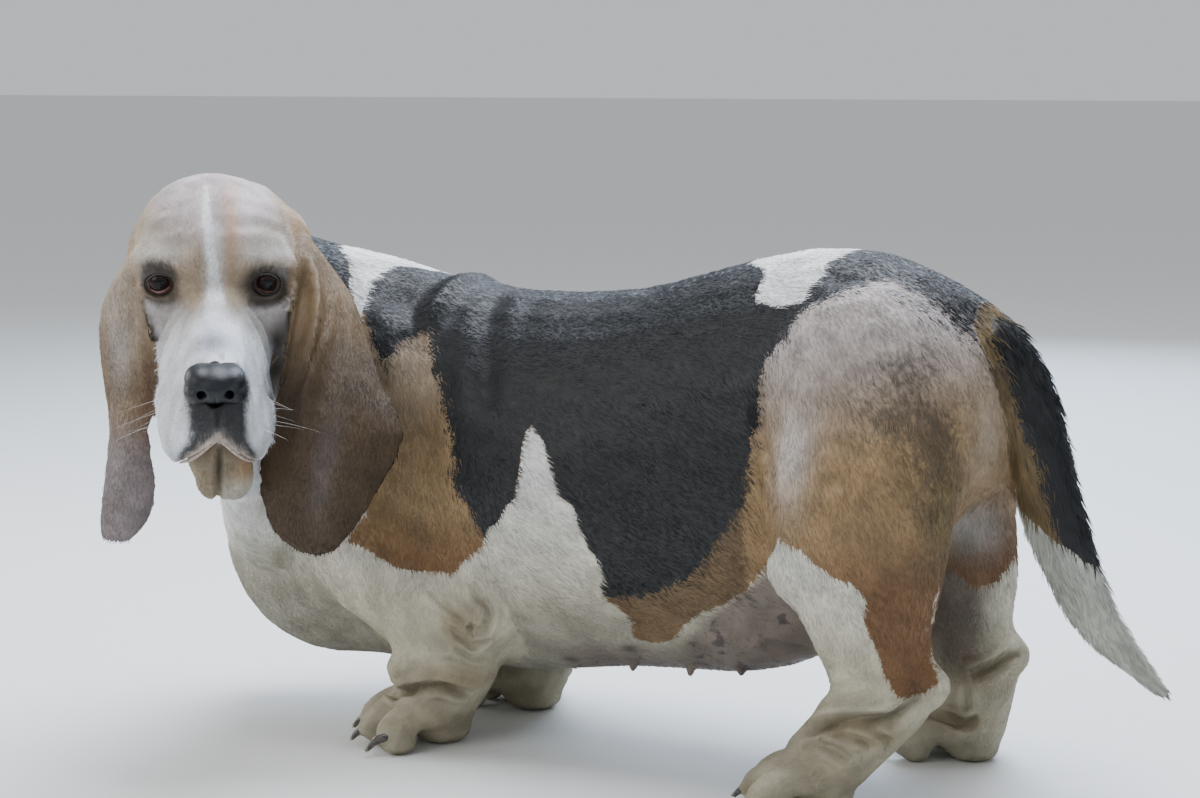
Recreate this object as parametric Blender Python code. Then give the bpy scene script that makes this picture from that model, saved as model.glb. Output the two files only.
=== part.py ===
"""A life-size basset hound, standing with its head turned back over its left shoulder.

Metres, +Z up. The hound faces -X, its left side is at -Y, and its soles stand on z = 0. Trunk, head, legs and feet
are modelled as overlapping masses that are merged into one skin and softened. That skin is then parted into the
animal's named parts by thin cuts. Ears, jaw, nose, eyes and claws are made one by one.
"""

import math

import bmesh
import bpy
from mathutils import Euler, Matrix, Vector

# ---------------------------------------------------------------- driving dimensions

GAP = 0.0003  # between two parts that touch
MEDIAN_Y = -0.012  # the plane that halves the trunk
SIDES = {"left": -1, "right": 1}  # the sign of y on that side of the trunk
SOLE_PRESS = 0.0012  # how much of each pad is flattened on the floor
CLAW_CLEARANCE = 0.0020  # how low a claw's point may come, while the pads are still round

# The head's own frame has its origin midway between the eyes; +X runs to the nose, +Y to the left, +Z to the brow.
BROW_POINT = Vector((-0.275, -0.226, 0.369))
HEAD = (
    Matrix.Translation(BROW_POINT)
    @ Matrix.Rotation(math.radians(-52.4), 4, "Z")
    @ Matrix.Rotation(math.radians(13.3), 4, "Y")
    @ Matrix.Rotation(math.radians(-0.8), 4, "X")
)
EYE_RADIUS = 0.0122
EYE_FORWARD, EYE_ASIDE = -0.0132, 0.0382  # the eye's centre in the head's frame
EYE_OUTWARD = math.radians(3)  # how far each eye looks out to its side
NOSE_ASIDE = -0.0018  # the nose sits a little off the middle of the turned face

# Elbow, wrist and middle of the foot of each foreleg; stifle, hock and middle of the foot of each hind leg.
# turn is the foot's heading in degrees from -X, positive to the left.
FORELEGS = {
    "left": {"elbow": (-0.158, -0.085, 0.104), "wrist": (-0.172, -0.078, 0.062), "foot": (-0.190, -0.078), "turn": 30},
    "right": {"elbow": (-0.150, 0.060, 0.104), "wrist": (-0.160, 0.050, 0.062), "foot": (-0.172, 0.052), "turn": -26},
}
HIND_LEGS = {
    "left": {"stifle": (0.122, -0.094, 0.182), "hock": (0.218, -0.092, 0.098), "foot": (0.142, -0.097), "turn": 6},
    "right": {"stifle": (0.130, 0.068, 0.182), "hock": (0.227, 0.068, 0.086), "foot": (0.198, 0.072), "turn": -12},
}

# Where along the belly each pair of teats hangs, and how low.
TEATS = ((-0.072, 0.066), (-0.022, 0.070), (0.026, 0.072), (0.068, 0.077))

SKIN_VOXEL = 0.0033
SKIN_TRIANGLES = 6200
FIRM_DENSITY = 1.4  # how much finer the first thinning, which firm skin keeps, is than the last
EAR_THICKNESS = 0.0046


# ---------------------------------------------------------------- modelling helpers


def clear_scene():
    for obj in list(bpy.data.objects):
        bpy.data.objects.remove(obj, do_unlink=True)


def finish(name, colour, roughness=0.8):
    """A plain material for a part."""
    material = bpy.data.materials.new(name)
    material.use_nodes = True
    shader = material.node_tree.nodes["Principled BSDF"]
    shader.inputs["Base Color"].default_value = (*colour, 1.0)
    shader.inputs["Roughness"].default_value = roughness
    return material


def to_object(name, bm, material=None):
    mesh = bpy.data.meshes.new(name)
    bm.to_mesh(mesh)
    bm.free()
    mesh.shade_smooth()
    obj = bpy.data.objects.new(name, mesh)
    bpy.context.scene.collection.objects.link(obj)
    if material:
        mesh.materials.append(material)
    return obj


def catmull(before, start, end, after, t):
    """A point between start and end on the smooth curve through all four. Works on numbers and on vectors."""
    return 0.5 * (
        2 * start
        + (end - before) * t
        + (2 * before - 5 * start + 4 * end - after) * t * t
        + (3 * start - before - 3 * end + after) * t * t * t
    )


def smooth_run(values, steps):
    """values with steps - 1 more between each two, on a smooth curve."""
    run = []
    last = len(values) - 1
    for i in range(last):
        near = [values[max(i - 1, 0)], values[i], values[i + 1], values[min(i + 2, last)]]
        run += [catmull(*near, step / steps) for step in range(steps)]
    return run + [values[last]]


def tangents_of(centres):
    last = len(centres) - 1
    return [(centres[min(i + 1, last)] - centres[max(i - 1, 0)]).normalized() for i in range(last + 1)]


def merge_into(bm, part):
    """Adds a closed skin to bm, with its faces pointing out."""
    bmesh.ops.recalc_face_normals(part, faces=part.faces)
    mesh = bpy.data.meshes.new("mass")
    part.to_mesh(mesh)
    part.free()
    bm.from_mesh(mesh)
    bpy.data.meshes.remove(mesh)


def add_rings(bm, rings):
    """Joins closed rings of points into one skin with both ends closed."""
    part = bmesh.new()
    made = [[part.verts.new(point) for point in ring] for ring in rings]
    around = len(made[0])
    for low, high in zip(made, made[1:]):
        for i in range(around):
            j = (i + 1) % around
            part.faces.new((low[i], low[j], high[j], high[i]))
    part.faces.new(reversed(made[0]))
    part.faces.new(made[-1])
    merge_into(bm, part)


def loft(
    bm, stations, across=(0, 0, 1), around=20, steps=4, round_ends=0.7, taper=0.0, facing=None, place=None
):
    """A rounded solid along a curve. A station is (x, y, z, half width, half height).

    The height is measured along across, and the width square to it. round_ends is how far the ends bulge, as a
    share of the end's smaller radius. taper narrows the top and widens the bottom by that share. The slices stand
    square to the curve, or all square to facing.
    """
    place = place or Matrix.Identity(4)
    centres = smooth_run([Vector(station[:3]) for station in stations], steps)
    widths = smooth_run([station[3] for station in stations], steps)
    heights = smooth_run([station[4] for station in stations], steps)
    normals = [Vector(facing)] * len(centres) if facing else tangents_of(centres)
    slices = list(zip(centres, normals, widths, heights))

    cap_angles = [math.radians(angle) for angle in (75, 50, 25)]
    for (centre, tangent, width, height), sign in ((slices[0], -1), (slices[-1], 1)):
        bulge = sign * round_ends * min(width, height)
        cap = [
            (centre + tangent * bulge * math.sin(a), tangent, width * math.cos(a), height * math.cos(a))
            for a in cap_angles
        ]
        slices = cap + slices if sign < 0 else slices + cap[::-1]

    rings = []
    for centre, tangent, width, height in slices:
        side = tangent.cross(Vector(across)).normalized()
        up = side.cross(tangent).normalized()
        ring = []
        for i in range(around):
            angle = math.tau * i / around
            aside = width * math.cos(angle) * (1 - taper * math.sin(angle))
            ring.append(place @ (centre + side * aside + up * height * math.sin(angle)))
        rings.append(ring)
    add_rings(bm, rings)


def ball(bm, centre, radii, turn=(0, 0, 0), place=None, rings=12):
    """An ellipsoid. turn is in degrees about X, Y and Z."""
    place = place or Matrix.Identity(4)
    spin = Euler([math.radians(angle) for angle in turn]).to_matrix().to_4x4()
    matrix = place @ Matrix.Translation(centre) @ spin @ Matrix.Diagonal((*radii, 1))
    part = bmesh.new()
    bmesh.ops.create_uvsphere(part, u_segments=2 * rings, v_segments=rings, radius=1, matrix=matrix)
    merge_into(bm, part)


def applied(obj):
    """Puts the result of obj's modifiers in its mesh."""
    graph = bpy.context.evaluated_depsgraph_get()
    mesh = bpy.data.meshes.new_from_object(obj.evaluated_get(graph))
    old = obj.data
    obj.modifiers.clear()
    obj.data = mesh
    bpy.data.meshes.remove(old)
    return obj


def keep_largest(obj):
    """Drops every loose piece of the mesh but the one with the most corners."""
    bm = bmesh.new()
    bm.from_mesh(obj.data)
    unseen = set(bm.verts)
    shells = []
    while unseen:
        stack = [unseen.pop()]
        shell = set(stack)
        while stack:
            for edge in stack.pop().link_edges:
                found = [vert for vert in edge.verts if vert in unseen]
                unseen.difference_update(found)
                shell.update(found)
                stack += found
        shells.append(shell)
    largest = max(shells, key=len)
    stray = [vert for shell in shells if shell is not largest for vert in shell]
    bmesh.ops.delete(bm, geom=stray, context="VERTS")
    bm.to_mesh(obj.data)
    bm.free()


def merged_skin(name, bm, voxel, softening, triangles, material, firmness=None):
    """One smooth closed skin over all the masses in bm, with about that many triangles.

    firmness gives the share of the softening that is spared at a point. Firm skin also keeps its fine mesh.
    """
    obj = to_object(name, bm, material)
    merge = obj.modifiers.new("merge", "REMESH")
    merge.mode = "VOXEL"
    merge.voxel_size = voxel
    applied(obj)
    keep_largest(obj)
    group = obj.vertex_groups.new(name="soft")
    for vert in obj.data.vertices:
        group.add([vert.index], 1 - (firmness(vert.co) if firmness else 0), "REPLACE")
    soften = obj.modifiers.new("soften", "SMOOTH")
    soften.factor = 0.5
    soften.iterations = softening
    soften.vertex_group = "soft"
    thinnings = [triangles / (2 * len(obj.data.polygons))]
    if firmness:
        thinnings = [thinnings[0] * FIRM_DENSITY, 1 / FIRM_DENSITY]
    for ratio in thinnings:
        thin = obj.modifiers.new("thin", "DECIMATE")
        thin.ratio = min(1.0, ratio)
        thin.use_collapse_triangulate = True
    if firmness:
        thin.vertex_group = "soft"
    applied(obj)
    obj.vertex_groups.clear()
    return obj


def copy_of(obj, name, material=None):
    twin = bpy.data.objects.new(name, obj.data.copy())
    bpy.context.scene.collection.objects.link(twin)
    if material:
        twin.data.materials.clear()
        twin.data.materials.append(material)
    return twin


def grown(obj, by=GAP):
    """A copy of obj with its skin moved out by the gap, to cut its neighbour with."""
    twin = copy_of(obj, "grown")
    normals = [vert.normal.copy() for vert in twin.data.vertices]
    for vert, normal in zip(twin.data.vertices, normals):
        vert.co += normal * by * 1.15
    return twin


def combine(obj, tool, operation):
    """Applies one Boolean of tool on obj, removes the tool and keeps the largest closed skin."""
    boolean = obj.modifiers.new("combine", "BOOLEAN")
    boolean.operation = operation
    boolean.solver = "EXACT"
    boolean.object = tool
    applied(obj)
    keep_largest(obj)
    bpy.data.objects.remove(tool, do_unlink=True)
    return obj


def cut_out(obj, name, cutter, material=None):
    """Parts from obj what lies in the cutter, as a new object, with a gap between the two."""
    taken = copy_of(obj, name, material)
    combine(obj, grown(cutter), "DIFFERENCE")
    return combine(taken, cutter, "INTERSECT")


def slice_off(obj, point, normal):
    """Cuts away all that lies on the normal's side of a plane, and closes the cut."""
    bm = bmesh.new()
    bm.from_mesh(obj.data)
    geometry = bm.verts[:] + bm.edges[:] + bm.faces[:]
    bmesh.ops.bisect_plane(bm, geom=geometry, plane_co=point, plane_no=normal, clear_outer=True, dist=1e-6)
    rim = [edge for edge in bm.edges if edge.is_boundary]
    filled = bmesh.ops.holes_fill(bm, edges=rim)["faces"]
    bmesh.ops.triangulate(bm, faces=filled)
    bmesh.ops.recalc_face_normals(bm, faces=bm.faces)
    bm.to_mesh(obj.data)
    bm.free()
    keep_largest(obj)
    return obj


def parted(obj, name, point, normal, material=None):
    """Cuts obj in two at a plane, with a gap. obj keeps the side behind the normal; the other side is returned."""
    point, normal = Vector(point), Vector(normal).normalized()
    ahead = copy_of(obj, name, material)
    slice_off(obj, point - normal * GAP / 2, normal)
    return slice_off(ahead, point + normal * GAP / 2, -normal)


# ---------------------------------------------------------------- trunk and neck


def add_trunk(bm):
    """Barrel of the ribs, loin, croup, breastbone and the low belly."""
    y = MEDIAN_Y
    profile = [
        # x, top, bottom, half width
        (-0.345, 0.245, 0.080, 0.050),
        (-0.305, 0.315, 0.050, 0.080),
        (-0.225, 0.360, 0.050, 0.098),
        (-0.120, 0.354, 0.052, 0.104),
        (-0.030, 0.360, 0.064, 0.102),
        (0.050, 0.382, 0.070, 0.095),
        (0.110, 0.395, 0.086, 0.088),
        (0.160, 0.394, 0.130, 0.084),
        (0.205, 0.379, 0.180, 0.075),
        (0.235, 0.360, 0.220, 0.052),
    ]
    stations = [(x, y, (top + low) / 2, wide, (top - low) / 2) for x, top, low, wide in profile]
    loft(bm, stations, around=28, facing=(1, 0, 0))
    keel = [
        (-0.314, y - 0.012, 0.236, 0.034, 0.046),
        (-0.340, y - 0.010, 0.182, 0.044, 0.056),
        (-0.352, y - 0.004, 0.130, 0.047, 0.058),
        (-0.322, y, 0.108, 0.056, 0.062),
        (-0.262, y, 0.114, 0.068, 0.065),
        (-0.180, y, 0.108, 0.072, 0.062),
    ]
    loft(bm, keel, across=(0.5, 0, 1), around=24)
    ball(bm, (0.045, y, 0.126), (0.110, 0.075, 0.056), turn=(0, -4, 0))
    # Fold of loose skin across the withers.
    ball(bm, (-0.186, y, 0.322), (0.021, 0.072, 0.045))


def add_neck(bm):
    """The neck, bent back to the left, and the dewlap under it."""
    stations = [
        (-0.205, MEDIAN_Y, 0.262, 0.082, 0.097),
        (-0.266, -0.022, 0.286, 0.078, 0.092),
        (-0.305, -0.058, 0.309, 0.070, 0.083),
        (-0.324, -0.105, 0.333, 0.063, 0.074),
        (-0.322, -0.150, 0.350, 0.057, 0.066),
    ]
    loft(bm, stations, around=24)
    dewlap = [
        (-0.258, -0.226, 0.262, 0.024, 0.030),
        (-0.290, -0.166, 0.244, 0.028, 0.050),
        (-0.328, -0.098, 0.208, 0.034, 0.058),
        (-0.352, -0.048, 0.165, 0.040, 0.056),
    ]
    loft(bm, dewlap)


def add_tail(bm):
    """The tail, hanging in a slack curve that turns up at the tip."""
    y = MEDIAN_Y
    stations = [
        (0.182, y, 0.341, 0.034, 0.038),
        (0.224, y, 0.332, 0.028, 0.036),
        (0.261, y, 0.300, 0.023, 0.030),
        (0.281, y, 0.244, 0.020, 0.027),
        (0.300, y, 0.188, 0.018, 0.024),
        (0.324, y, 0.140, 0.015, 0.019),
        (0.357, y, 0.106, 0.010, 0.012),
        (0.378, y, 0.089, 0.006, 0.007),
    ]
    loft(bm, stations, around=14, steps=3)


def make_teats():
    """Two rows of teats along the belly."""
    bm = bmesh.new()
    for x, depth in TEATS:
        for side in SIDES.values():
            y = MEDIAN_Y + side * 0.036
            stations = [(x, y, depth + 0.020, 0.0060, 0.0060), (x, y, depth, 0.0038, 0.0038)]
            loft(bm, stations, across=(1, 0, 0), around=7, steps=1)
    return to_object("teats", bm)


# ---------------------------------------------------------------- legs


def between(start, end, share):
    return tuple(a + (b - a) * share for a, b in zip(start, end))


def add_foreleg(bm, side, elbow, wrist):
    """Shoulder blade, upper arm, and the forearm in its loose sleeve of skin."""
    ball(bm, (-0.222, MEDIAN_Y + side * 0.058, 0.255), (0.066, 0.047, 0.092), turn=(0, -14, 0))
    upper_arm = [
        (-0.262, MEDIAN_Y + side * 0.066, 0.195, 0.044, 0.062),
        (-0.218, MEDIAN_Y + side * 0.073, 0.150, 0.042, 0.058),
        (*elbow, 0.037, 0.048),
    ]
    loft(bm, upper_arm, across=(1, 0, 0))
    forearm = [
        (elbow[0] - 0.006, elbow[1], elbow[2] + 0.012, 0.038, 0.050),
        (*between(elbow, wrist, 0.5), 0.036, 0.045),
        (*wrist, 0.036, 0.043),
        (wrist[0] - 0.004, wrist[1], wrist[2] - 0.016, 0.033, 0.038),
    ]
    loft(bm, forearm, across=(1, 0, 0))
    # Point of the elbow, and the roll of skin in which the sleeve ends above the foot.
    ball(bm, (elbow[0] + 0.036, elbow[1] + side * 0.004, elbow[2] + 0.004), (0.020, 0.018, 0.024))
    ball(bm, (wrist[0] - 0.003, wrist[1] + side * 0.002, wrist[2] + 0.006), (0.0455, 0.0400, 0.016), turn=(0, -12, 0))


def add_hind_leg(bm, side, stifle, hock):
    """Haunch, thigh, second thigh and the point of the hock."""
    x, y, z = hock
    ball(bm, (0.172, MEDIAN_Y + side * 0.052, 0.280), (0.084, 0.052, 0.096), turn=(0, -8, 0))
    column = [
        # x, y, z, lateral half width, half depth
        (0.168, MEDIAN_Y + side * 0.066, 0.268, 0.042, 0.072),
        (0.176, stifle[1], 0.225, 0.047, 0.070),
        (0.180, stifle[1], 0.188, 0.043, 0.063),
        (x - 0.034, stifle[1], 0.150, 0.036, 0.052),
        (x - 0.029, y, z + 0.026, 0.030, 0.044),
        (x - 0.018, y, z, 0.027, 0.036),
    ]
    loft(bm, column, across=(1, 0, 0), around=24)
    ball(bm, (stifle[0] + 0.014, stifle[1] + side * 0.003, stifle[2]), (0.027, 0.032, 0.038))
    # The roll of skin round the outside of the hock.
    roll = [
        (x - 0.064, y + side * 0.004, z - 0.025, 0.009, 0.009),
        (x - 0.050, y + side * 0.013, z - 0.018, 0.011, 0.011),
        (x - 0.033, y + side * 0.019, z - 0.012, 0.012, 0.012),
        (x - 0.016, y + side * 0.021, z - 0.008, 0.011, 0.011),
        (x + 0.002, y + side * 0.015, z - 0.004, 0.009, 0.009),
    ]
    loft(bm, roll, around=14, steps=3)
    # Heel bone, and the rump beside the tail.
    ball(bm, (x + 0.012, y, z), (0.018, 0.015, 0.018))
    ball(bm, (0.214, MEDIAN_Y + side * 0.038, 0.265), (0.036, 0.040, 0.064), turn=(0, 12, 0))


def foot_place(foot, turn):
    """The foot's own frame: origin on the floor under it, +X to the toes."""
    return Matrix.Translation((*foot, 0)) @ Matrix.Rotation(math.radians(180 + turn), 4, "Z")


TOES = [
    # how far out from the middle, how far ahead, spread in degrees
    (-0.030, -0.006, -22),
    (-0.011, 0.004, -7),
    (0.011, 0.004, 7),
    (0.030, -0.006, 22),
]


def add_foot(bm, place, scale):
    """A broad, well-knuckled foot with four toes and the pads under them."""
    place = place @ Matrix.Scale(scale, 4)
    ball(bm, (-0.008, 0, 0.030), (0.034, 0.034, 0.027), place=place)
    ball(bm, (-0.014, 0, 0.011), (0.024, 0.025, 0.013), place=place)
    for aside, ahead, spread in TOES:
        toe = place @ Matrix.Translation((ahead, aside, 0)) @ Matrix.Rotation(math.radians(spread), 4, "Z")
        stations = [
            (-0.010, 0, 0.030, 0.0125, 0.0130),
            (0.014, 0, 0.031, 0.0125, 0.0135),
            (0.033, 0, 0.021, 0.0120, 0.0130),
            (0.040, 0, 0.013, 0.0105, 0.0105),
        ]
        loft(bm, stations, around=12, steps=3, place=toe)
        ball(bm, (0.026, 0, 0.010), (0.015, 0.0115, 0.011), place=toe, rings=8)


def add_pastern(bm, start, end, place, half_width, half_depth):
    """The stretch from wrist or hock down to the foot."""
    top = Vector(start)
    low = place @ Vector((-0.008, 0, 0.030))
    stations = [
        (*top, half_width, half_depth),
        (*top.lerp(low, 0.5), half_width * 0.96, half_depth * 0.96),
        (*low, half_width, half_depth * 0.9),
    ]
    loft(bm, stations, across=end)


def make_claws(place, scale):
    """Short blunt claws that curve down from the ends of the toes, rooted inside them."""
    bm = bmesh.new()
    for aside, ahead, spread in TOES:
        toe = place @ Matrix.Scale(scale, 4) @ Matrix.Translation((ahead, aside, 0))
        toe = toe @ Matrix.Rotation(math.radians(spread), 4, "Z")
        stations = [
            (0.034, 0, 0.0165, 0.0032, 0.0044),
            (0.0465, 0, 0.0145, 0.0029, 0.0040),
            (0.0535, 0, 0.0075, 0.0019, 0.0028),
        ]
        loft(bm, stations, around=6, steps=1, round_ends=0.8, place=toe)
    claws = to_object("claws", bm)
    for vert in claws.data.vertices:
        vert.co.z = max(vert.co.z, CLAW_CLEARANCE)
    return claws


# ---------------------------------------------------------------- head


def add_head(bm):
    """Skull, brows, muzzle, cheeks and lids, in the head's frame."""
    ball(bm, (-0.060, 0.002, 0.0105), (0.070, 0.060, 0.0535), place=HEAD)
    ball(bm, (-0.102, 0.016, 0.016), (0.037, 0.047, 0.034), place=HEAD)
    # Roots of the ears.
    ball(bm, (-0.086, 0.053, 0.003), (0.030, 0.025, 0.031), place=HEAD)
    ball(bm, (-0.072, -0.046, 0.000), (0.030, 0.0165, 0.026), place=HEAD)
    muzzle = [
        # forward, aside, up, half width, half height
        (-0.040, 0, -0.028, 0.050, 0.046),
        (-0.002, 0, -0.046, 0.042, 0.047),
        (0.035, 0, -0.059, 0.0355, 0.048),
        (0.072, 0, -0.065, 0.0325, 0.046),
        (0.097, 0, -0.063, 0.0270, 0.039),
    ]
    loft(bm, muzzle, around=28, round_ends=0.45, taper=0.24, place=HEAD)
    bridge = [
        (-0.040, 0, 0.006, 0.030, 0.022),
        (0.016, 0, -0.018, 0.022, 0.016),
        (0.060, 0, -0.030, 0.021, 0.014),
        (0.102, 0, -0.040, 0.020, 0.014),
    ]
    loft(bm, bridge, place=HEAD)
    for left in (-1, 1):
        brow = [
            (-0.022, 0.014 * left, 0.012, 0.016, 0.014),
            (-0.015, 0.035 * left, 0.014, 0.014, 0.012),
            (-0.032, 0.050 * left, 0.006, 0.014, 0.013),
        ]
        loft(bm, brow, place=HEAD)
        # Cheek, and the loose upper lip that hangs below the jaw.
        ball(bm, (-0.046, 0.002 + 0.040 * left, -0.026), (0.044, 0.025, 0.046), place=HEAD)
        lip = [
            (0.000, 0.032 * left, -0.080, 0.011, 0.018),
            (0.036, 0.031 * left, -0.089, 0.011, 0.020),
            (0.070, 0.0280 * left, -0.091, 0.0105, 0.020),
            (0.093, 0.0205 * left, -0.085, 0.0110, 0.017),
        ]
        loft(bm, lip, place=HEAD)
        # Lids, drooping below.
        ball(bm, (EYE_FORWARD + 0.0005, EYE_ASIDE * left, -0.0018), (0.0165, 0.0162, 0.0168), place=HEAD)


def jaw_masses():
    """Lower jaw with the chin and its loose lip."""
    bm = bmesh.new()
    stations = [
        (-0.034, 0, -0.090, 0.028, 0.020),
        (0.015, 0.001, -0.103, 0.026, 0.026),
        (0.055, 0.003, -0.108, 0.0240, 0.029),
        (0.080, 0.004, -0.106, 0.0200, 0.028),
    ]
    loft(bm, stations, place=HEAD)
    # The chin's two lobes.
    ball(bm, (0.080, -0.0045, -0.117), (0.0150, 0.0115, 0.0175), place=HEAD)
    ball(bm, (0.078, 0.0125, -0.118), (0.0160, 0.0140, 0.0190), place=HEAD)
    return bm


def mouth_notch():
    """The peak-shaped gap where the two halves of the upper lip part in front."""
    bm = bmesh.new()
    for left in (-1, 1):
        stations = [
            (0.104, 0.0012 * left, -0.0835, 0.026, 0.0048),
            (0.102, 0.0080 * left, -0.0925, 0.030, 0.0068),
            (0.098, 0.0165 * left, -0.1030, 0.034, 0.0088),
            (0.094, 0.0220 * left, -0.1200, 0.036, 0.0125),
            (0.092, 0.0230 * left, -0.1440, 0.036, 0.0160),
        ]
        loft(bm, stations, across=(0, 1, 0), around=16, place=HEAD)
    return merged_skin("notch", bm, 0.0022, 6, 360, None)


def eye_centre(left):
    return HEAD @ Vector((EYE_FORWARD, EYE_ASIDE * left, 0))


def make_eye(name, left, material):
    bm = bmesh.new()
    ball(bm, eye_centre(left), (EYE_RADIUS,) * 3, rings=7)
    return to_object(name, bm, material)


def eye_opening(left):
    """The almond between the lids, to cut through the skin over the eye."""
    bm = bmesh.new()
    gaze = Vector((math.cos(EYE_OUTWARD), math.sin(EYE_OUTWARD) * left, 0))
    middle = Vector((EYE_FORWARD, EYE_ASIDE * left, -0.0014)) + gaze * EYE_RADIUS
    turn = (-5 * left, 0, math.degrees(EYE_OUTWARD) * left)
    ball(bm, middle, (0.0105, 0.0110, 0.0092), turn=turn, place=HEAD)
    return to_object("opening", bm)


def make_nose(material):
    """The nose leather, still without its nostrils."""
    bm = bmesh.new()
    ball(bm, (0.106, NOSE_ASIDE, -0.0385), (0.0165, 0.0165, 0.0125), place=HEAD)
    ball(bm, (0.101, NOSE_ASIDE, -0.0340), (0.0165, 0.0130, 0.0088), place=HEAD)
    for left in (-1, 1):
        # The upper corners of the pad, and the wings round the nostrils.
        ball(bm, (0.1025, NOSE_ASIDE + 0.0110 * left, -0.0345), (0.0160, 0.0105, 0.0088), place=HEAD)
        ball(bm, (0.1065, NOSE_ASIDE + 0.0128 * left, -0.0425), (0.0130, 0.0092, 0.0092), place=HEAD)
    ball(bm, (0.1035, NOSE_ASIDE, -0.0495), (0.0090, 0.0060, 0.0060), place=HEAD)
    return merged_skin("nose", bm, 0.0014, 5, 320, material)


def nostril(left):
    """The hollow of a nostril, with the slit that runs from it round the side of the nose."""
    bm = bmesh.new()
    hollow = [
        (0.128, NOSE_ASIDE + 0.0082 * left, -0.0410, 0.0034, 0.0038),
        (0.118, NOSE_ASIDE + 0.0094 * left, -0.0410, 0.0032, 0.0034),
        (0.112, NOSE_ASIDE + 0.0120 * left, -0.0405, 0.0022, 0.0024),
    ]
    loft(bm, hollow, around=10, steps=2, place=HEAD)
    slit = [
        (0.125, NOSE_ASIDE + 0.0102 * left, -0.0425, 0.0020, 0.0020),
        (0.121, NOSE_ASIDE + 0.0152 * left, -0.0445, 0.0018, 0.0018),
        (0.116, NOSE_ASIDE + 0.0200 * left, -0.0450, 0.0012, 0.0012),
    ]
    loft(bm, slit, around=8, steps=2, place=HEAD)
    return merged_skin("nostril", bm, 0.0009, 1, 90, None)


# ---------------------------------------------------------------- ears


LEFT_EAR = [
    # front edge, middle and rear edge of the flap, from the head down to the tip
    ((-0.254, -0.179, 0.375), (-0.2630, -0.1480, 0.3990), (-0.2755, -0.1130, 0.4109)),
    ((-0.242, -0.168, 0.372), (-0.2430, -0.1410, 0.3840), (-0.2544, -0.1180, 0.3828)),
    ((-0.240, -0.178, 0.353), (-0.2190, -0.1590, 0.3545), (-0.2239, -0.1224, 0.3561)),
    ((-0.235, -0.196, 0.323), (-0.2050, -0.1800, 0.3230), (-0.1984, -0.1366, 0.3200)),
    ((-0.232, -0.211, 0.288), (-0.195, -0.197, 0.289), (-0.174, -0.154, 0.289)),
    ((-0.237, -0.224, 0.257), (-0.188, -0.204, 0.259), (-0.153, -0.160, 0.259)),
    ((-0.234, -0.233, 0.224), (-0.188, -0.216, 0.223), (-0.161, -0.175, 0.227)),
    ((-0.226, -0.229, 0.192), (-0.191, -0.222, 0.190), (-0.173, -0.198, 0.194)),
    ((-0.206, -0.225, 0.178), (-0.191, -0.225, 0.176), (-0.181, -0.215, 0.178)),
]
RIGHT_EAR = [
    ((-0.333, -0.248, 0.371), (-0.351, -0.222, 0.388), (-0.360, -0.190, 0.386)),
    ((-0.324, -0.251, 0.360), (-0.355, -0.232, 0.373), (-0.374, -0.187, 0.368)),
    ((-0.318, -0.250, 0.347), (-0.372, -0.229, 0.347), (-0.390, -0.183, 0.345)),
    ((-0.311, -0.248, 0.323), (-0.372, -0.231, 0.319), (-0.388, -0.195, 0.315)),
    ((-0.308, -0.248, 0.292), (-0.362, -0.236, 0.287), (-0.382, -0.207, 0.282)),
    ((-0.316, -0.252, 0.262), (-0.341, -0.253, 0.259), (-0.367, -0.233, 0.256)),
    ((-0.309, -0.254, 0.224), (-0.325, -0.267, 0.227), (-0.356, -0.256, 0.223)),
    ((-0.313, -0.258, 0.198), (-0.327, -0.271, 0.196), (-0.354, -0.265, 0.193)),
    ((-0.325, -0.267, 0.182), (-0.333, -0.274, 0.182), (-0.345, -0.273, 0.183)),
]


def make_ear(name, rows, hand, pleat, material):
    """A thin hanging flap. hand is 1 for the left ear and -1 for the right.

    pleat is how far the flap's front stripe is folded out, from the head down to the tip.
    """
    steps = 2
    around = 18
    fronts, middles, rears = ([Vector(row[i]) for row in rows] for i in range(3))
    fronts, middles, rears = smooth_run(fronts, steps), smooth_run(middles, steps), smooth_run(rears, steps)
    pleats = smooth_run(list(pleat), steps)
    rings = []
    for front, middle, rear, down, fold in zip(fronts, middles, rears, tangents_of(middles), pleats):
        centre, half = (front + rear) / 2, (front - rear) / 2
        bow = middle - centre
        out = half.cross(down).normalized() * hand
        ring = []
        for i in range(around):
            angle = math.tau * i / around
            t = math.cos(angle)
            crest = math.exp(-(((t - 0.5) / 0.26) ** 2)) - 0.6 * math.exp(-(((t - 0.02) / 0.26) ** 2))
            on_sheet = centre + half * t + bow * (1 - t * t) + out * fold * crest
            normal = (half - bow * 2 * t).cross(down).normalized() * hand
            ring.append(on_sheet + normal * EAR_THICKNESS / 2 * math.sin(angle))
        rings.append(ring)
    bm = bmesh.new()
    add_rings(bm, rings)
    return to_object(name, bm, material)


# ---------------------------------------------------------------- cutters


def foreleg_cutter(side, elbow, wrist):
    """The space of a foreleg, from the point of the shoulder to below the floor."""
    bm = bmesh.new()
    stations = [
        (-0.248, MEDIAN_Y + side * 0.118, 0.212, 0.040, 0.046),
        (-0.236, MEDIAN_Y + side * 0.114, 0.184, 0.046, 0.060),
        (-0.205, MEDIAN_Y + side * 0.104, 0.142, 0.048, 0.066),
        (elbow[0] - 0.004, elbow[1] + side * 0.012, elbow[2] - 0.004, 0.047, 0.064),
        (wrist[0] - 0.004, wrist[1] + side * 0.004, wrist[2] - 0.010, 0.048, 0.075),
        (wrist[0] - 0.020, wrist[1] + side * 0.004, -0.060, 0.062, 0.100),
    ]
    loft(bm, stations, across=(1, 0, 0), around=24)
    return merged_skin("cutter", bm, 0.005, 10, 420, None)


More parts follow.
